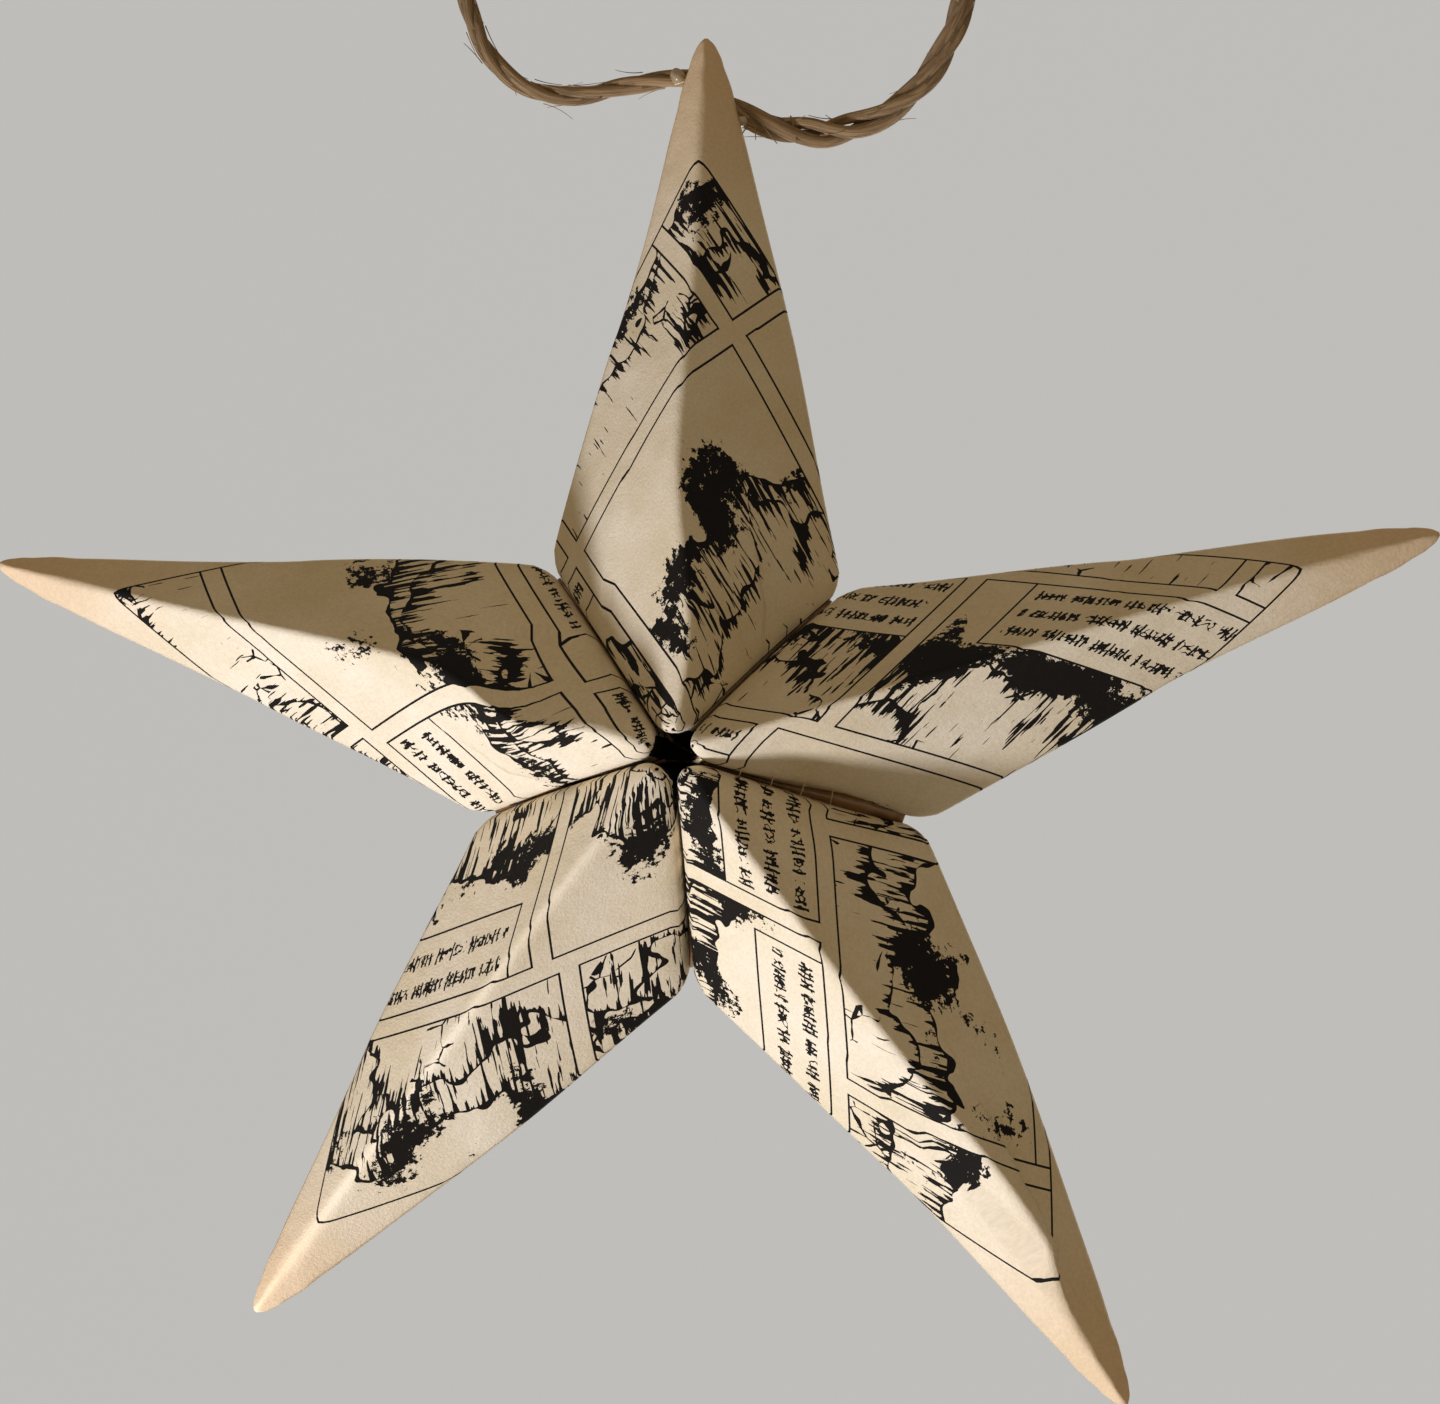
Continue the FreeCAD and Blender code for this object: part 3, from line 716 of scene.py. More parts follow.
@dataclass
class PaperPoint:
    """One point of the star, folded from the flat net of its page."""

    name: str
    node: str
    turn: float
    layout: StarLayout
    hand: HandFolding
    leaf: float
    ridge_sway: tuple[tuple[float, float, float], ...] = ()
    parting: tuple[tuple[Side, float, float, float], ...] = ()
    pinch_from: float = 0.0
    pinch_fall: float = 0.0
    pinch_tilt: float = 0.0
    puffs: tuple[tuple[float, float, float, float, float], ...] = ()
    cuts: int = 39
    thickness: float = 0.12
    nose_radius: float = 2.1
    tip_cut: float = 2.4
    tip_blunt: float = 0.6
    tip_stretch: float = 30.0
    side_bow: float = 0.5
    tip_swell: float = 0.3
    lap: float = 2.0
    wave_height: float = 0.55

    def net(self) -> tuple[dict[str, Pair], dict[str, Triple], tuple[tuple[str, ...], ...]]:
        """The flat net of the page and where its corners go in the folded point.

        Returns:
            The corners on the page, the corners folded, and the panels between them.
        """
        layout = self.layout
        tip, corner = layout.tip, layout.wide_corner
        deep = layout.back_at(0.0)
        fold = layout.ridge_length * math.tan(math.radians(22.5)) / math.sqrt(2)
        half = layout.page_side / 2 / math.sqrt(2)
        wall = math.radians(45) + math.acos(-corner[2] / (fold * math.sqrt(2)))
        cross = math.radians(22.5) - math.atan(
            math.tan(math.atan(corner[1] / (tip[0] - corner[0]))) * math.cos(math.atan(layout.back_slope))
        )
        reach = layout.page_side / 2
        flap_x = tip[0] - reach * math.cos(cross) * math.cos(math.atan(layout.back_slope))
        flap_y = -reach * math.sin(cross)
        tuck_x = corner[0] + 4.0
        page = {"middle": (0.0, 0.0), "tip": (layout.ridge_length, 0.0)}
        folded = {"middle": (0.0, 0.0, 0.0), "tip": tip}
        panels: list[tuple[str, ...]] = []
        for side in Side:
            sign = side.value
            tag = side.name.lower()
            names = {part: f"{part}_{tag}" for part in ("corner", "flap", "wall", "tuck")}
            page[names["corner"]] = (fold, sign * fold)
            page[names["flap"]] = (half, sign * half)
            page[names["wall"]] = (-deep * math.cos(wall), -deep * math.sin(wall) * sign)
            folded[names["corner"]] = (corner[0], sign * corner[1], corner[2])
            folded[names["flap"]] = (flap_x, sign * flap_y, layout.back_at(flap_x))
            folded[names["wall"]] = (0.0, 0.0, deep)
            folded[names["tuck"]] = (tuck_x, -sign * self.lap, layout.back_at(tuck_x))
            page[names["tuck"]] = self.unfold(page, folded, names)
            sides = (
                ("middle", "tip", names["corner"]),
                ("tip", names["flap"], names["corner"]),
                ("middle", names["corner"], names["wall"]),
                (names["corner"], names["tuck"], names["wall"]),
            )
            panels += [row if side is Side.LEFT else row[::-1] for row in sides]
        return page, folded, tuple(panels)

    @staticmethod
    def unfold(page: dict[str, Pair], folded: dict[str, Triple], names: dict[str, str]) -> Pair:
        """Where the tucked corner lies on the page, beyond the fold between wall and back."""
        start, end = Vector(page[names["corner"]]), Vector(page[names["wall"]])
        start_folded, end_folded = Vector(folded[names["corner"]]), Vector(folded[names["wall"]])
        along_folded = (end_folded - start_folded).normalized()
        reach = Vector(folded[names["tuck"]]) - start_folded
        run = reach.dot(along_folded)
        rise = (reach - along_folded * run).length
        along = (end - start).normalized()
        away = Vector((-along.y, along.x))
        if away.dot(-start) > 0:
            away.negate()
        place = start + along * run + away * rise
        return place.x, place.y

    def sheet(self) -> tuple[bmesh.types.BMesh, np.ndarray, np.ndarray]:
        """The flat net cut from a few corners, divided, and folded panel by panel.

        Returns:
            The folded sheet, its vertices on the page, and each vertex's place.
        """
        page, folded, panels = self.net()
        bm = bmesh.new()
        corners = {name: bm.verts.new((*place, 0.0)) for name, place in page.items()}
        panel_of = bm.faces.layers.int.new("panel")
        for number, names in enumerate(panels):
            bm.faces.new([corners[name] for name in names])[panel_of] = number
        bmesh.ops.subdivide_edges(bm, edges=bm.edges[:], cuts=self.cuts, use_grid_fill=True)
        end = Vector((*page["tip"], 0.0))
        for reach in (8.0, 4.0):
            near = [edge for edge in bm.edges if all((vert.co - end).length < reach for vert in edge.verts)]
            bmesh.ops.subdivide_edges(bm, edges=near, cuts=1, use_grid_fill=True)
        bmesh.ops.triangulate(bm, faces=[face for face in bm.faces if len(face.verts) > 4])
        bm.verts.index_update()
        flat = coordinates(bm)
        places = np.zeros_like(flat)
        for number, names in enumerate(panels):
            members = {vert.index for face in bm.faces if face[panel_of] == number for vert in face.verts}
            rows = sorted(members)
            first, second, third = [np.array(page[name]) for name in names]
            spread = np.stack((second - first, third - first), axis=1)
            shares = np.linalg.solve(spread, (flat[rows, :2] - first).T).T
            start, one, two = [np.array(folded[name]) for name in names]
            places[rows] = start + shares @ np.stack((one - start, two - start))
        return bm, flat[:, :2], places

    @staticmethod
    def distance(flat: np.ndarray, start: Pair, end: Pair) -> np.ndarray:
        """How far places on the page are from a fold line."""
        first, second = np.array(start), np.array(end)
        share = np.clip((flat - first) @ (second - first) / ((second - first) ** 2).sum(), 0.0, 1.0)
        return np.linalg.norm(flat - first - share[:, None] * (second - first), axis=1)

    def soften(self, bm: bmesh.types.BMesh, flat: np.ndarray, page: dict[str, Pair]) -> None:
        """Rounds every fold of the sheet by smoothing the vertices beside it."""
        folds = [("middle", "tip", 1.0, 5)]
        for side in Side:
            tag = side.name.lower()
            folds += [
                ("middle", f"corner_{tag}", 0.9, 4),
                ("tip", f"corner_{tag}", 0.8, 2),
                (f"corner_{tag}", f"wall_{tag}", 0.8, 3),
            ]
        bm.verts.ensure_lookup_table()
        # the rounding gets finer towards the tip, where the point is as narrow as the fold
        narrowing = 12.0
        share = np.minimum(np.linalg.norm(flat - np.array(page["tip"]), axis=1) / narrowing, 1.0)
        axes = {"use_axis_x": True, "use_axis_y": True, "use_axis_z": True}
        for start, end, width, rounds in folds:
            near = self.distance(flat, page[start], page[end]) < width * share
            verts = [bm.verts[index] for index in np.flatnonzero(near)]
            for _ in range(rounds):
                bmesh.ops.smooth_vert(bm, verts=verts, factor=0.5, **axes)

    def shape(self, flat: np.ndarray, places: np.ndarray, page: dict[str, Pair]) -> np.ndarray:
        """Gives the folded sheet its laps, round ends, pinched nose and slight waves.

        Args:
            flat: The vertices on the page.
            places: The vertices of the folded sheet in the frame of the point.
            page: The corners on the page.

        Returns:
            The vertices' new places.
        """
        layout = self.layout
        shaped = places.copy()
        # the left flap lies over the right one, and the left tuck over the right tuck
        for side, lift, tuck_lift in ((Side.LEFT, 0.75, 0.25), (Side.RIGHT, 0.45, 0.0)):
            tag = side.name.lower()
            kite = self.distance(flat, page["tip"], page[f"corner_{tag}"])
            across = flat[:, 1] * side.value
            past_kite = (across - page["corner_left"][1]) * (page["tip"][0] - page["corner_left"][0]) + (
                flat[:, 0] - page["corner_left"][0]
            ) * page["corner_left"][1] > 1e-6
            flap = past_kite & (across <= flat[:, 0] + 1e-6)
            shaped[:, 2] -= np.where(flap, lift * smoothstep(kite, 0.0, 5.0), 0.0)
            back = self.distance(flat, page[f"corner_{tag}"], page[f"wall_{tag}"])
            edge = np.array(page[f"wall_{tag}"]) - np.array(page[f"corner_{tag}"])
            offset = flat - np.array(page[f"corner_{tag}"])
            turned = edge[0] * offset[:, 1] - edge[1] * offset[:, 0]
            tucked = (turned * side.value < -1e-6) & (across > flat[:, 0] + 1e-6) & (across > 0)
            shaped[:, 2] -= np.where(tucked, tuck_lift * smoothstep(back, 0.0, 4.0), 0.0)
        # slight waves on the faces, none on the walls that meet the neighbours
        walls = np.minimum(
            self.distance(flat, (0.0, 0.0), page["corner_left"]),
            self.distance(flat, (0.0, 0.0), page["corner_right"]),
        )
        on_face = (np.abs(flat[:, 1]) <= flat[:, 0] + 1e-6).astype(float) * smoothstep(walls, 0.3, 5.0)
        for index, (across, down) in enumerate(flat):
            if on_face[index]:
                wave = noise.noise(Vector((across * 0.06, down * 0.09, self.leaf * 7.0)))
                shaped[index, 2] += self.wave_height * wave * on_face[index]
        # the ridge sways to a side where the fold was made by eye
        front = np.clip(1.0 - np.abs(places[:, 1]) / np.maximum(self.half_width(places[:, 0]), 0.5), 0.0, 1.0)
        for at, spread, shift in self.ridge_sway:
            reach = np.exp(-(((places[:, 0] - at) / spread) ** 2))
            shaped[:, 1] += shift * reach * front * (places[:, 2] > layout.back_at(0.0) / 2)
        for side, at, spread, shift in self.parting:
            self.part(flat, shaped, page, side, at, spread, shift)
        if self.pinch_from:
            self.pinch(shaped)
        # a swollen fold at the inner end, on the front only
        front_depth = -8.0
        for along, across, long, wide, height in self.puffs:
            off = ((places[:, 0] - along) / long) ** 2 + ((places[:, 1] - across) / wide) ** 2
            swollen = height * np.sqrt(np.maximum(1.0 - off, 0.0))
            shaped[:, 2] += np.where(places[:, 2] > front_depth, swollen, 0.0)
        self.round_nose(shaped)
        self.round_tip(shaped)
        return shaped

    def half_width(self, along: np.ndarray) -> np.ndarray:
        """Half of the point's width at places along it."""
        tip, corner = self.layout.tip, self.layout.wide_corner
        outer = (tip[0] - along) * corner[1] / (tip[0] - corner[0])
        return np.maximum(np.minimum(outer, along * corner[1] / corner[0]), 0.0)

    def part(
        self,
        flat: np.ndarray,
        shaped: np.ndarray,
        page: dict[str, Pair],
        side: Side,
        at: float,
        spread: float,
        shift: float,
    ) -> None:
        """Draws the front edge of one wall away from its neighbour, where the glue let go.

        Args:
            flat: The vertices on the page.
            shaped: The vertices in the frame of the point, which are moved.
            page: The corners on the page.
            side: The side that the wall is on.
            at: Where along the point the gap is widest.
            spread: How far the gap reaches from there.
            shift: How far the edge is drawn in at most.
        """
        corner = self.layout.wide_corner
        fold = self.distance(flat, page["middle"], page[f"corner_{side.name.lower()}"])
        across = flat[:, 1] * side.value
        on_face = (across <= flat[:, 0] + 1e-6) & (across > 0)
        on_wall = (across > flat[:, 0] - 1e-6) & (across > 0)
        share = np.where(on_face, 1.0 - smoothstep(fold, 0.0, 7.0), 0.0)
        depth = corner[2] * shaped[:, 0] / corner[0] - shaped[:, 2]
        share = np.where(on_wall, 1.0 - smoothstep(depth, 0.5, 7.5), share)
        share = share * np.exp(-(((shaped[:, 0] - at) / spread) ** 2))
        shaped[:, 1] -= side.value * shift * share

    def pinch(self, shaped: np.ndarray) -> None:
        """Presses the inner end of the ridge to a small flat facet."""
        soft, reach = 0.12, 1.6
        drop = math.tan(math.radians(self.layout.ridge_drop))
        top = -self.pinch_from * drop - self.pinch_fall * (1.0 - shaped[:, 0] / self.pinch_from)
        top = top + self.pinch_tilt * shaped[:, 1]
        pressed = (shaped[:, 0] < self.pinch_from * reach) & (shaped[:, 2] > top)
        shaped[:, 2] = np.where(pressed, top + soft * (shaped[:, 2] - top), shaped[:, 2])

    def round_nose(self, shaped: np.ndarray) -> None:
        """Rounds the inner end at the front; it closes to the page's sharp corner at the back."""
        half = math.radians(self.layout.wedge_half)
        radius = self.nose_radius * (0.05 + 0.95 * smoothstep(shaped[:, 2], -17.0, -8.0))
        inside = np.abs(shaped[:, 1]) < radius * math.cos(half)
        arc = radius / math.sin(half) - np.sqrt(np.maximum(radius**2 - shaped[:, 1] ** 2, 0.0))
        shaped[:, 0] = np.where(inside, np.maximum(shaped[:, 0], arc), shaped[:, 0])

    def inked_end(self, mesh: bpy.types.Mesh) -> list[float]:
        """How deep each vertex lies in the hole at the middle of the star, where solid black is painted on
        the walls as their shade.
        """
        places = np.array([vertex.co[:] for vertex in mesh.vertices]) / MM
        out = np.hypot(places[:, 0], places[:, 2] - self.layout.centre_z)
        deep = places[:, 1] - self.layout.centre_y
        front = smoothstep(deep, 2.0, 4.0) * (1.0 - smoothstep(deep, 15.0, 16.5))
        return (front * (1.0 - smoothstep(out, 1.9, 2.7))).tolist()

    def round_tip(self, shaped: np.ndarray) -> None:
        """Bows the long sides outwards and draws the last stretch in to a blunt, rounded tip."""
        tip, corner = self.layout.tip, self.layout.wide_corner
        slope = corner[1] / (tip[0] - corner[0])
        along = shaped[:, 0].copy()
        left = np.maximum(tip[0] - along, 1e-4)
        # the cut-back end: far from it nothing moves, near it the steps shrink as round a circle
        drawn = left**2 / (left + self.tip_cut)
        blunt = np.sqrt(1.0 - np.clip(1.0 - drawn / self.tip_blunt, 0.0, 1.0) ** 2)
        swell = self.side_bow + self.tip_swell * np.exp(-(((drawn - 6.0) / 9.0) ** 2))
        bow = swell * (1.0 - np.exp(-drawn / 2.5)) * smoothstep(along, corner[0], 38.0)
        ratio = ((drawn + self.tip_cut) * slope + bow) * blunt / (left * slope)
        new_along = tip[0] - self.tip_cut - drawn
        fall = math.tan(math.radians(self.layout.ridge_drop))
        middle = (self.layout.back_at(along) - along * fall) / 2
        new_middle = (self.layout.back_at(new_along) - new_along * fall) / 2
        outer = along > corner[0]
        shaped[:, 1] = np.where(outer, shaped[:, 1] * ratio, shaped[:, 1])
        last = left < self.tip_stretch
        shaped[:, 2] = np.where(last, new_middle + (shaped[:, 2] - middle) * ratio, shaped[:, 2])
        shaped[:, 0] = np.where(last, new_along, along)

    def build(self, finish: bpy.types.Material) -> bpy.types.Object:
        """Folds the point.

        Args:
            finish: The page's material.

        Returns:
            The piece that stands for the point's CAD node.
        """
        page = self.net()[0]
        bm, flat, places = self.sheet()
        shaped = self.shape(flat, places, page)
        set_coordinates(bm, shaped)
        self.soften(bm, flat, page)
        side = self.layout.ridge_length
        uv = bm.loops.layers.uv.new("page")
        for face in bm.faces:
            for loop in face.loops:
                along, across = flat[loop.vert.index]
                loop[uv].uv = ((side - along + across) / math.sqrt(2), (side - along - across) / math.sqrt(2))
        stood = self.hand.bend(self.layout.stand(coordinates(bm), self.turn))
        set_coordinates(bm, stood * MM)
        bmesh.ops.remove_doubles(bm, verts=bm.verts[:], dist=0.00001)
        mesh = bpy.data.meshes.new(self.name)
        bm.to_mesh(mesh)
        bm.free()
        # painted shade: marks the walls deep in the centre hole, which are painted solid black
        hole_shade_layer = mesh.attributes.new("inked_end", "FLOAT", "POINT")
        hole_shade_layer.data.foreach_set("value", self.inked_end(mesh))
        number = mesh.attributes.new("leaf", "FLOAT", "POINT")
        number.data.foreach_set("value", [self.leaf] * len(mesh.vertices))
        piece = finish_piece(self.name, mesh, finish, (self.node,))
        body = piece.modifiers.new("page_thickness", "SOLIDIFY")
        body.thickness = self.thickness * MM
        body.offset = -1.0
        return piece


@dataclass
class TwineLoop:
    """Three-ply jute twine: one length from the glue behind the tip, round the loop and back."""

    route: tuple[Pair, ...] = (
        (-0.5, -46.9),
        (-6.2, -47.2),
        (-12.6, -49.0),
        (-18.2, -47.8),
        (-22.1, -43.8),
        (-24.4, -35.6),
        (-23.2, -21.5),
        (-16.8, -8.2),
        (-7.0, 1.1),
        (7.0, 1.1),
        (18.6, -9.0),
        (24.9, -24.0),
        (23.9, -38.4),
        (21.0, -46.3),
        (16.3, -51.1),
        (9.8, -52.5),
        (4.4, -51.6),
        (1.0, -49.6),
    )
    length: float = 160.2
    diameter: float = 2.2
    plies: int = 3
    ply_radius: float = 0.68
    ply_offset: float = 0.56
    lay_length: float = 15.0
    slack_share: float = 0.72
    full_share: float = 0.95
    tail: tuple[tuple[Pair, ...], ...] = (
        ((3.6, -50.6), (4.2, -51.9), (4.3, -53.2)),
        ((3.9, -50.7), (5.2, -52.2), (6.3, -53.6)),
        ((3.4, -50.4), (3.5, -51.8), (3.0, -52.7)),
        ((7.4, -50.9), (7.8, -52.2), (8.1, -53.6)),
    )
    hairs: int = 150
    seed: int = 4
    centre: np.ndarray = field(default_factory=lambda: np.zeros((0, 3)))

    def trace(self) -> None:
        """Reads the smooth centreline of the route, in metres."""
        curve = bpy.data.curves.new("twine_route", "CURVE")
        curve.dimensions = "3D"
        curve.resolution_u = 24
        spline = curve.splines.new("NURBS")
        spline.points.add(len(self.route) - 1)
        for point, (across, up) in zip(spline.points, self.route):
            point.co = (across * MM, 0.0, up * MM, 1.0)
        spline.order_u = 3
        spline.use_endpoint_u = True
        helper = bpy.data.objects.new("twine_route", curve)
        line = bpy.data.meshes.new_from_object(helper)
        self.centre = np.array([vertex.co[:] for vertex in line.vertices])
        bpy.data.meshes.remove(line)
        bpy.data.objects.remove(helper)
        bpy.data.curves.remove(curve)

    def arc_lengths(self) -> np.ndarray:
        """Length along the centreline at each of its points, in millimetres."""
        steps = np.linalg.norm(np.diff(self.centre, axis=0), axis=1) / MM
        return np.concatenate(((0.0,), np.cumsum(steps)))

    def frames(self) -> tuple[np.ndarray, np.ndarray]:
        """The direction along the twine and the one across it in its plane, at each point."""
        along = np.gradient(self.centre, axis=0)
        along /= np.linalg.norm(along, axis=1)[:, None]
        return along, np.cross(np.array((0.0, 1.0, 0.0)), along)

    def ply_line(self, number: int) -> tuple[np.ndarray, np.ndarray]:
        """The path of one ply round the centreline and its thickness, point by point."""
        lengths = self.arc_lengths()
        along, across = self.frames()
        parted = np.exp(-(((lengths - (lengths[-1] - 10.5)) / 3.2) ** 2))
        turn = 2 * math.pi * (lengths / self.lay_length + number / self.plies)
        turn = turn + 0.35 * np.sin(lengths / 7.0 + number)
        # the first strand is spun tighter and thinner than the rest
        filling = smoothstep(lengths, 36.0, 90.0)
        fullness = self.slack_share + (self.full_share - self.slack_share) * filling + 0.1 * parted
        out = self.ply_offset * (1.0 + 0.75 * parted) * fullness * MM
        flat = 0.5 + 0.5 * (1 - parted)
        path = self.centre + across * (out * np.cos(turn))[:, None]
        path[:, 1] += out * np.sin(turn) * flat
        thick = self.ply_radius * (1 + 0.12 * np.sin(lengths / 5.0 + 2.1 * number)) * (1 - 0.25 * parted)
        return path, thick * fullness * MM

    @staticmethod
    def tubes(name: str, lines: list[tuple[np.ndarray, np.ndarray]], sides: int) -> bpy.types.Mesh:
        """Round tubes along several paths, closed at their ends, in one mesh.

        Args:
            name: The mesh's name.
            lines: Paths and the thickness at each of their points, in metres.
            sides: Steps of a quarter of a tube's round.

        Returns:
            The mesh, with a fibre attribute that runs along each tube.
        """
        curve = bpy.data.curves.new(name, "CURVE")
        curve.dimensions = "3D"
        curve.bevel_depth = 1.0
        curve.bevel_resolution = sides
        curve.use_fill_caps = True
        for path, thick in lines:
            spline = curve.splines.new("POLY")
            spline.points.add(len(path) - 1)
            for point, place, radius in zip(spline.points, path, thick):
                point.co = (*place, 1.0)
                point.radius = radius
        helper = bpy.data.objects.new(name, curve)
        mesh = bpy.data.meshes.new_from_object(helper)
        bpy.data.objects.remove(helper)
        bpy.data.curves.remove(curve)
        bm = bmesh.new()
        bm.from_mesh(mesh)
        bmesh.ops.remove_doubles(bm, verts=bm.verts[:], dist=0.0000005)
        bmesh.ops.recalc_face_normals(bm, faces=bm.faces[:])
        bm.to_mesh(mesh)
        bm.free()
        TwineLoop.mark_fibres(mesh, lines)
        return mesh

    @staticmethod
    def mark_fibres(mesh: bpy.types.Mesh, lines: list[tuple[np.ndarray, np.ndarray]]) -> None:
        """Writes each vertex's place along and round its tube to the fibre attribute."""
        places = np.array([vertex.co[:] for vertex in mesh.vertices])
        nearest = np.full(len(places), np.inf)
        fibre = np.zeros((len(places), 3))
        for number, (path, thick) in enumerate(lines):
            lengths = np.concatenate(((0.0,), np.cumsum(np.linalg.norm(np.diff(path, axis=0), axis=1)))) / MM
            gaps = np.linalg.norm(places[:, None, :] - path[None, :, :], axis=2)
            index = gaps.argmin(axis=1)
            gap = gaps[np.arange(len(places)), index] - thick[index]
            better = gap < nearest
            nearest[better] = gap[better]
            offset = (places - path[index]) / MM
            fibre[better, 0] = lengths[index][better] * 0.07 + number * 7.3
            fibre[better, 1] = offset[better, 1] * 1.6
            fibre[better, 2] = (offset[better, 0] + offset[better, 2]) * 1.6
        attribute = mesh.attributes.new("fibre", "FLOAT_VECTOR", "POINT")
        attribute.data.foreach_set("vector", fibre.ravel())

    def hair_lines(self) -> list[tuple[np.ndarray, np.ndarray]]:
        """Loose fibres that lift from the plies, the frayed tail, and the fibre across the parted plies."""
        draws = random.Random(self.seed)
        lengths = self.arc_lengths()
        along, across = self.frames()
        lines: list[tuple[np.ndarray, np.ndarray]] = []
        for _ in range(self.hairs):
            at = draws.uniform(4.0, lengths[-1] - 4.0)
            index = int(np.searchsorted(lengths, at))
            angle = draws.uniform(0, 2 * math.pi)
            out = across[index] * math.cos(angle) + np.array((0.0, 1.0, 0.0)) * math.sin(angle)
            heading = along[index] * draws.choice((-1, 1))
            reach = draws.uniform(1.2, 3.6) * MM
            lift = draws.uniform(0.15, 0.8) * MM
            curl = np.cross(heading, out) * draws.uniform(-0.6, 0.6) * MM
            steps = np.linspace(0.0, 1.0, 6)[:, None]
            base = self.centre[index] + out * (self.diameter / 2 - 0.12) * MM
            path = base + heading * reach * steps + out * lift * steps**2 + curl * steps**2
            lines.append((path, np.full(6, draws.uniform(0.035, 0.06) * MM) * np.linspace(1, 0.5, 6)))
        for corners in self.tail:
            path = np.array([(x, -0.6 - 0.25 * step, z) for step, (x, z) in enumerate(corners)]) * MM
            lines.append((path, np.array((0.09, 0.08, 0.04)) * MM))
        return lines

    def build(self, finish: bpy.types.Material) -> bpy.types.Object:
        """Twists the plies and lays their loose fibres.

        Args:
            finish: The jute's material.

        Returns:
            The twine.
        """
        self.trace()
        mesh = self.tubes("twine_loop", [self.ply_line(number) for number in range(self.plies)], 3)
        twine = finish_piece("twine_loop", mesh, finish, ("hanging_twine",))
        hairs = self.tubes("twine_fibres", self.hair_lines(), 0)
        fibres = finish_piece("twine_fibres", hairs, finish)
        return twine


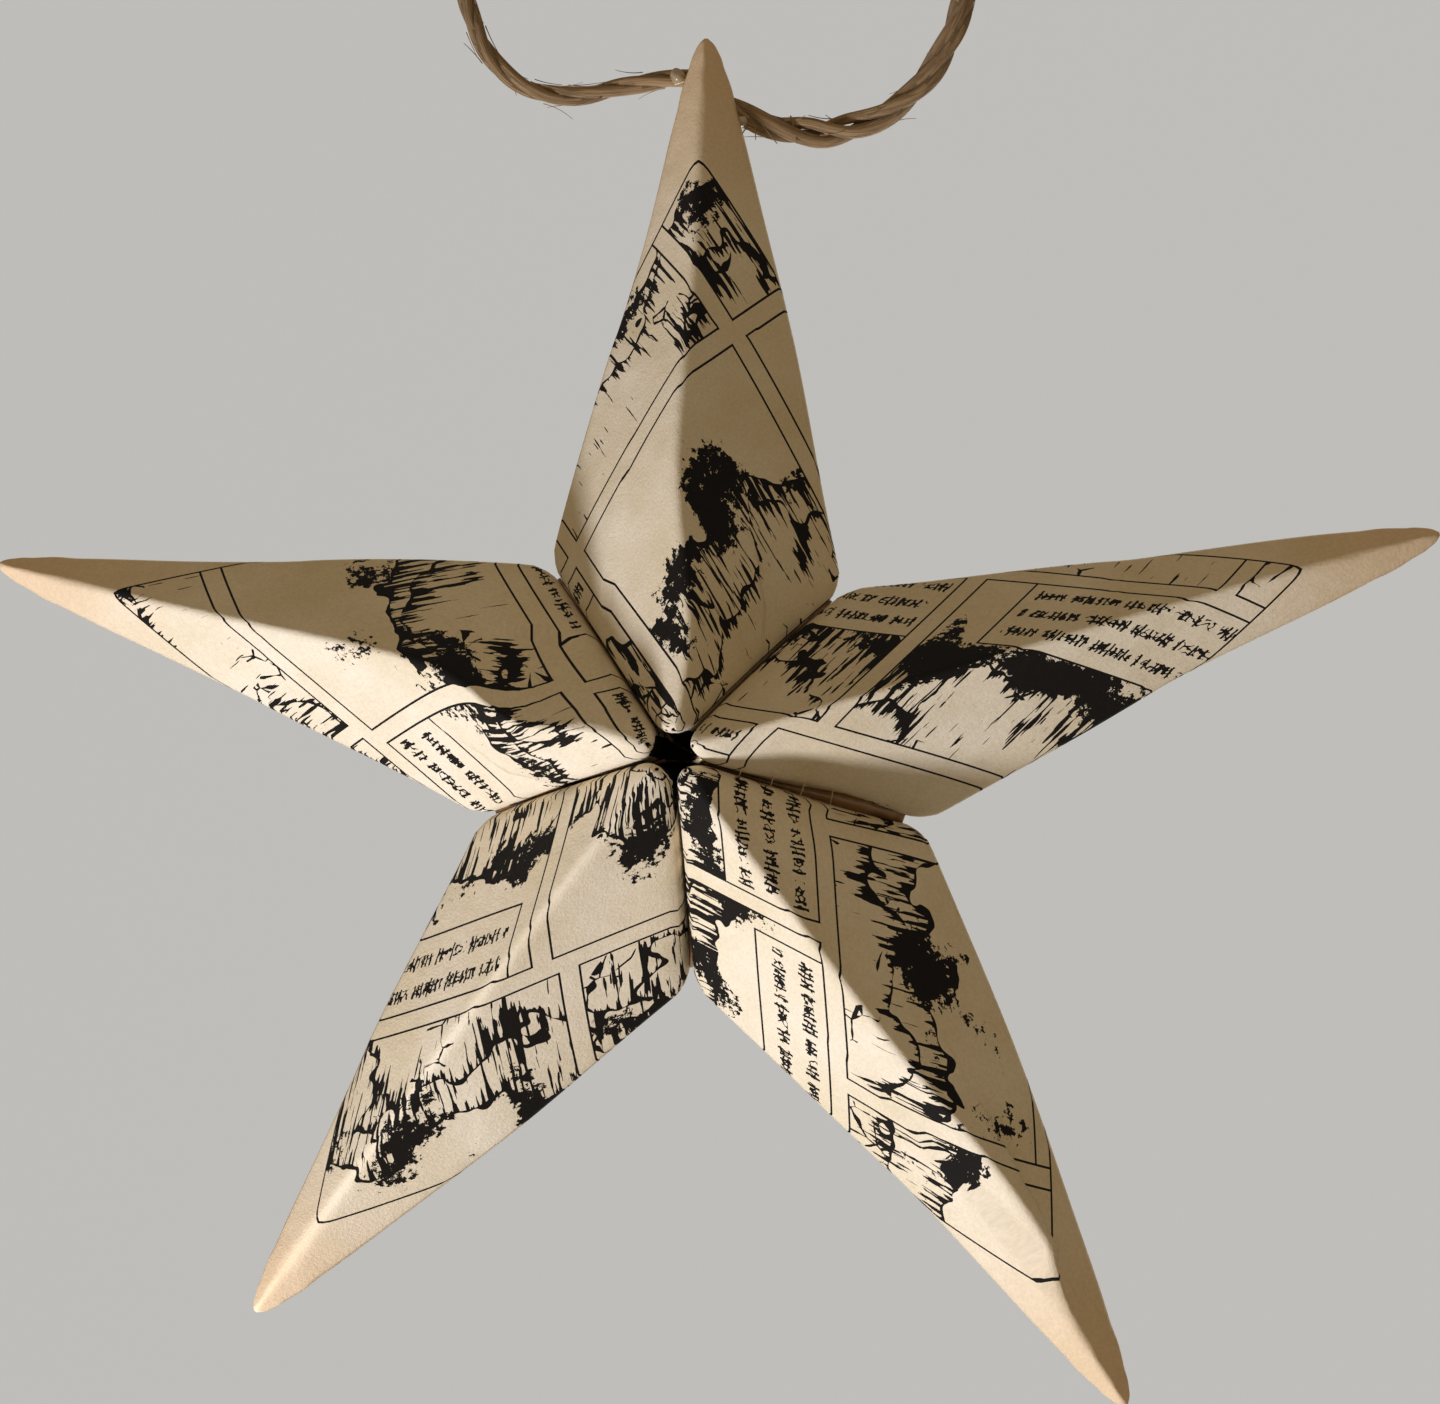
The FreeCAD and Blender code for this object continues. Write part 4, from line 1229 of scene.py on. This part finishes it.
@dataclass
class GlueWork:
    """The hot glue: a film between each two walls, and the dab that holds the twine behind the tip."""

    layout: StarLayout
    hand: HandFolding
    film: float = 0.3
    film_corners: tuple[Pair, ...] = ((1.2, -8.0), (0.1, -19.5), (19.2, -19.2))
    # along the seam, reach and rise of one end, reach of the other, and drift along the seam between them
    threads: tuple[tuple[float, ...], ...] = (
        (5.2, 1.0, 0.8, -0.7, -0.1),
        (7.6, 1.5, 0.7, -1.0, 0.1),
        (10.1, 1.6, 0.6, -1.3, 0.0),
        (12.4, 1.4, 0.5, -1.5, 0.3),
        (15.6, 1.9, 0.6, -1.4, 0.0),
        (17.2, 1.2, 0.3, -1.6, 0.4),
        (18.3, 1.0, 0.2, -1.9, 0.1),
    )
    thread_radius: float = 0.06
    closing_depth: float = 18.6

    def seam(
        self, name: str, node: str, turn: float, finish: bpy.types.Material, flare: float = 0.0
    ) -> bpy.types.Object:
        """The film of glue between two neighbouring walls, with a soft wavy rim.

        Args:
            name: The piece's name.
            node: The CAD node that it replaces.
            turn: The seam's angle from the top, in degrees.
            finish: The glue's material.
            flare: How many times its own thickness the film gains at its outer end, where it fills a gap.

        Returns:
            The piece.
        """
        bm = bmesh.new()
        rim = [bm.verts.new((along, 0.0, deep)) for along, deep in self.film_corners]
        bm.faces.new(rim)
        bmesh.ops.subdivide_edges(bm, edges=bm.edges[:], cuts=15, use_grid_fill=True)
        bm.normal_update()
        places = coordinates(bm)
        for place in places:
            place[0] += 0.3 * noise.noise(Vector((place[0] * 0.5, turn, place[2] * 0.5)))
        set_coordinates(bm, places)
        bmesh.ops.solidify(bm, geom=bm.faces[:], thickness=self.film)
        centred = coordinates(bm)
        centred[:, 1] -= centred[:, 1].mean()
        outward = smoothstep(centred[:, 0], 6.0, 17.0)
        centred[:, 1] = centred[:, 1] * (1.0 + flare * outward) + 0.05 * flare * outward
        set_coordinates(bm, self.hand.bend(self.layout.stand(centred, turn)) * MM)
        bmesh.ops.recalc_face_normals(bm, faces=bm.faces[:])
        mesh = bpy.data.meshes.new(name)
        bm.to_mesh(mesh)
        bm.free()
        return finish_piece(name, mesh, finish, (node,))

    def strings(self, turn: float, finish: bpy.types.Material) -> bpy.types.Object:
        """Fine threads of glue across the gap where two walls part.

        Args:
            turn: The gap's angle from the top, in degrees.
            finish: The glue's material.

        Returns:
            The piece.
        """
        corner = self.layout.wide_corner
        edge = corner[2] / corner[0]
        steps = np.linspace(0.0, 1.0, 7)
        lines = []
        for along, reach, rise, far, drift in self.threads:
            path = np.stack(
                (
                    along + drift * steps + 0.15 * np.sin(steps * math.pi),
                    reach + (far - reach) * steps,
                    edge * along + rise - (rise + 0.1) * steps + 0.25 * np.sin(steps * math.pi),
                ),
                axis=1,
            )
            bent = self.hand.bend(self.layout.stand(path, turn)) * MM
            lines.append((bent, np.full(len(steps), self.thread_radius * MM)))
        mesh = TwineLoop.tubes("hot_glue_strings", lines, 1)
        bm = bmesh.new()
        bm.from_mesh(mesh)
        # the bead that closes the middle of the star from behind
        bead = bmesh.ops.create_icosphere(bm, subdivisions=3, radius=1.0)["verts"]
        middle = Vector((0.0, self.layout.centre_y + self.closing_depth, self.layout.centre_z)) * MM
        for vert in bead:
            lump = 1.0 + 0.2 * noise.noise(vert.co * 2.3)
            vert.co = Vector((vert.co.x * 1.3, vert.co.y * 0.9, vert.co.z * 1.2)) * lump * MM + middle
        bm.to_mesh(mesh)
        bm.free()
        return finish_piece("hot_glue_strings", mesh, finish)

    def dab(self, finish: bpy.types.Material) -> bpy.types.Object:
        """The lumpy dome of glue on the back of the top point, round both ends of the twine."""
        low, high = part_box("glue_dab")
        half = Vector(((high.x - low.x) / 2, high.y - low.y, (high.z - low.z) / 2))
        half -= Vector((0.8, 0.0, 0.9)) * MM
        middle = Vector(((low.x + high.x) / 2, low.y, (low.z + high.z) / 2))
        bm = bmesh.new()
        bmesh.ops.create_icosphere(bm, subdivisions=4, radius=1.0)
        for vert in bm.verts:
            lump = 1.0 + 0.14 * noise.noise(vert.co * 1.7) + 0.05 * noise.noise(vert.co * 5.0)
            # narrower towards the tip, as the point is
            narrow = 1.0 - 0.42 * (vert.co.z + 1.0) / 2
            across, deep, up = vert.co.x * half.x * narrow, max(vert.co.y, -0.12) * half.y, vert.co.z * half.z
            vert.co = Vector((across, deep, up)) * lump + middle
        # glue squeezed out beside the point, where each end of the twine goes in
        for place, size in (((-3.1, -0.7, -47.1), 0.75), ((2.9, -0.6, -51.2), 0.65)):
            bead = bmesh.ops.create_icosphere(bm, subdivisions=3, radius=size * MM)["verts"]
            for vert in bead:
                vert.co *= 1.0 + 0.3 * noise.noise(vert.co / MM * 1.3)
            bmesh.ops.translate(bm, verts=bead, vec=Vector(place) * MM)
        mesh = bpy.data.meshes.new("hot_glue_dab")
        bm.to_mesh(mesh)
        bm.free()
        return finish_piece("hot_glue_dab", mesh, finish, ("glue_dab",))


@dataclass(frozen=True)
class Studio:
    """A pale sweep behind and under the hanging star, a soft key from low on the left, and the camera."""

    camera: Triple = (47.15, -302.26, -122.91)
    azimuth: float = 8.50
    elevation: float = -3.43
    roll: float = 1.25
    lens: float = 84.275
    key_from: Triple = (-0.52, -0.52, -0.69)
    key_distance: float = 0.2
    key_size: float = 0.035
    key_power: float = 0.44
    key_tint: str = "#F0F3FF"
    back_from: Triple = (0.0, 1.0, 0.0)
    back_distance: float = 0.75
    back_size: float = 0.7
    back_power: float = 6.5
    ambient: float = 0.30
    room_tint: str = "#FFE7BF"
    pale: str = "#C6C5C2"
    sweep_cloth: str = "#D9D9D8"
    sweep_glow: str = "#E4E4E2"
    middle: Triple = (0.0, -0.008, -0.110)

    def place_camera(self) -> None:
        """Stands the camera where the photograph was taken from."""
        data = bpy.data.cameras.new("camera")
        data.lens = self.lens
        data.sensor_width = 36.0
        data.sensor_fit = "HORIZONTAL"
        data.clip_start = 0.01
        camera = bpy.data.objects.new("camera", data)
        bpy.context.scene.collection.objects.link(camera)
        azimuth, elevation = math.radians(self.azimuth), math.radians(self.elevation)
        back = Vector(
            (
                math.sin(azimuth) * math.cos(elevation),
                -math.cos(azimuth) * math.cos(elevation),
                math.sin(elevation),
            )
        )
        turn = back.to_track_quat("Z", "Y").to_matrix()
        right, up = turn.col[0], turn.col[1]
        roll = math.radians(self.roll)
        rolled = turn.copy()
        rolled.col[0] = right * math.cos(roll) + up * math.sin(roll)
        rolled.col[1] = up * math.cos(roll) - right * math.sin(roll)
        camera.matrix_world = rolled.to_4x4()
        camera.location = Vector(self.camera) * MM
        bpy.context.scene.camera = camera

    def backdrop(self) -> None:
        """The pale sweep: a floor that bends up into a wall behind the star."""
        bm = bmesh.new()
        bmesh.ops.create_grid(bm, x_segments=1, y_segments=1, size=2.5)
        bmesh.ops.translate(bm, verts=bm.verts[:], vec=(0.0, -1.7, -0.75))
        rear = [edge for edge in bm.edges if all(vert.co.y > 0 for vert in edge.verts)]
        lifted = bmesh.ops.extrude_edge_only(bm, edges=rear)["geom"]
        bmesh.ops.translate(
            bm, verts=[item for item in lifted if isinstance(item, bmesh.types.BMVert)], vec=(0.0, 0.0, 3.0)
        )
        bmesh.ops.bevel(
            bm, geom=rear, offset=0.4, segments=12, profile=0.5, affect="EDGES", material=-1
        )
        mesh = bpy.data.meshes.new("pale_sweep")
        bm.to_mesh(mesh)
        bm.free()
        mesh.shade_smooth()
        material = bpy.data.materials.new("pale_sweep")
        material.use_nodes = True
        tree = material.node_tree
        tree.nodes.clear()
        path = add_node(tree, "ShaderNodeLightPath")
        seen = add_node(
            tree,
            MATH,
            {"operation": "MAXIMUM"},
            {0: path.outputs["Is Camera Ray"], 1: path.outputs["Is Transmission Ray"]},
        ).outputs[0]
        cloth = add_node(tree, "ShaderNodeBsdfDiffuse", {"Color": linear(self.sweep_cloth)}).outputs[0]
        glow = add_node(
            tree, "ShaderNodeEmission", {"Color": linear(self.sweep_glow), "Strength": 0.8}
        ).outputs[0]
        share = add_node(tree, MATH, {"operation": "MULTIPLY", 1: 0.75}, {0: seen}).outputs[0]
        mixed = add_node(tree, "ShaderNodeMixShader", None, {0: share, 1: cloth, 2: glow}).outputs[0]
        add_node(tree, "ShaderNodeOutputMaterial", None, {"Surface": mixed})
        mesh.materials.append(material)
        sweep = bpy.data.objects.new("pale_sweep", mesh)
        bpy.context.scene.collection.objects.link(sweep)

    def lamp(
        self, name: str, direction: Vector, distance: float, size: float, power: float, tint: str = "#FFFFFF"
    ) -> None:
        """Adds one round area lamp that faces the star.

        Args:
            name: The lamp's name.
            direction: From the star to the lamp.
            distance: How far it stands, in metres.
            size: Its diameter, in metres.
            power: Its power, in watts.
            tint: Its colour.
        """
        data = bpy.data.lights.new(name, "AREA")
        data.shape = "DISK"
        data.size = size
        data.energy = power
        data.color = linear(tint)[:3]
        lamp = bpy.data.objects.new(name, data)
        bpy.context.scene.collection.objects.link(lamp)
        lamp.location = Vector(self.middle) + direction.normalized() * distance
        lamp.rotation_euler = direction.to_track_quat("Z", "Y").to_euler()

    def light(self) -> None:
        """The key, a broad lamp behind for the back and the sides, and an even room light."""
        key = Vector(self.key_from)
        self.lamp("key", key, self.key_distance, self.key_size, self.key_power, self.key_tint)
        self.lamp("back", Vector(self.back_from), self.back_distance, self.back_size, self.back_power)
        world = bpy.data.worlds.new("room")
        bpy.context.scene.world = world
        world.use_nodes = True
        tree = world.node_tree
        tree.nodes.clear()
        room = add_node(
            tree, "ShaderNodeBackground", {"Color": linear(self.room_tint), "Strength": self.ambient}
        ).outputs[0]
        pale = add_node(tree, "ShaderNodeBackground", {"Color": linear(self.pale)}).outputs[0]
        path = add_node(tree, "ShaderNodeLightPath")
        clear = add_node(
            tree,
            MATH,
            {"operation": "MAXIMUM"},
            {0: path.outputs["Is Camera Ray"], 1: path.outputs["Is Transmission Ray"]},
        ).outputs[0]
        seen = add_node(
            tree, MATH, {"operation": "MAXIMUM"}, {0: clear, 1: path.outputs["Is Glossy Ray"]}
        ).outputs[0]
        mixed = add_node(tree, "ShaderNodeMixShader", None, {0: seen, 1: room, 2: pale}).outputs[0]
        add_node(tree, "ShaderNodeOutputWorld", None, {"Surface": mixed})
        bpy.context.scene.view_settings.view_transform = "Standard"

    def build(self) -> None:
        """Sets up the camera, the sweep and the light."""
        self.place_camera()
        self.backdrop()
        self.light()


@dataclass
class FoldedStar:
    """The whole ornament."""

    layout: StarLayout = field(default_factory=StarLayout)

    def build(self) -> None:
        """Builds every piece in order: twine, points, glue."""
        hand = HandFolding(self.layout)
        jute = JuteFibre().build()
        paper = AgedPage().build()
        glue = HotMeltGlue().build()
        # the seam glue is real, but its dark brown paints the shade in the gaps between the walls and deep in
        # the centre hole
        film = HotMeltGlue(
            "hot_melt_glue_film", clear="#A9835A", tint="#6E4A26", clearness=0.1
        ).build()
        TwineLoop().build(jute)
        points = (
            PaperPoint(
                "folded_point_top",
                "point_top",
                turn=0.0,
                layout=self.layout,
                hand=hand,
                leaf=0.3,
                ridge_sway=((12.0, 10.0, -1.8),),
            ),
            PaperPoint(
                "folded_point_upper_right",
                "point_upper_right",
                turn=72.0,
                layout=self.layout,
                hand=hand,
                leaf=1.4,
                parting=((Side.RIGHT, 10.5, 4.4, 1.1),),
                puffs=((3.9, -0.2, 2.8, 1.7, 0.5),),
            ),
            PaperPoint(
                "folded_point_lower_right",
                "point_lower_right",
                turn=144.0,
                layout=self.layout,
                hand=hand,
                leaf=2.7,
                ridge_sway=((50.0, 14.0, 1.8),),
                parting=((Side.LEFT, 11.0, 5.0, 0.5),),
                pinch_from=5.0,
                pinch_fall=1.2,
                pinch_tilt=0.3,
            ),
            PaperPoint(
                "folded_point_lower_left",
                "point_lower_left",
                turn=216.0,
                layout=self.layout,
                hand=hand,
                leaf=3.1,
            ),
            PaperPoint(
                "folded_point_upper_left",
                "point_upper_left",
                turn=288.0,
                layout=self.layout,
                hand=hand,
                leaf=4.5,
                ridge_sway=((12.8, 4.6, 3.0),),
                puffs=((5.6, 1.1, 4.3, 2.9, 1.5),),
            ),
        )
        for point in points:
            point.build(paper)
        work = GlueWork(self.layout, hand)
        places = ("upper_right", "right", "bottom", "left", "upper_left")
        for number, place in enumerate(places):
            # glue fills the gap on the right, where two walls part, and its dark brown paints the shade in
            # that gap
            flare = 4.5 if place == "right" else 0.0
            work.seam(f"hot_glue_{place}", f"glue_seam_{place}", (number + 0.5) * 72.0, film, flare)
        work.strings(108.0, glue)
        work.dab(glue)


def main() -> None:
    """Builds the studio and the star."""
    logging.basicConfig(level=logging.INFO, format="%(message)s")
    Studio().build()
    FoldedStar().build()


if __name__ == "__main__":
    main()
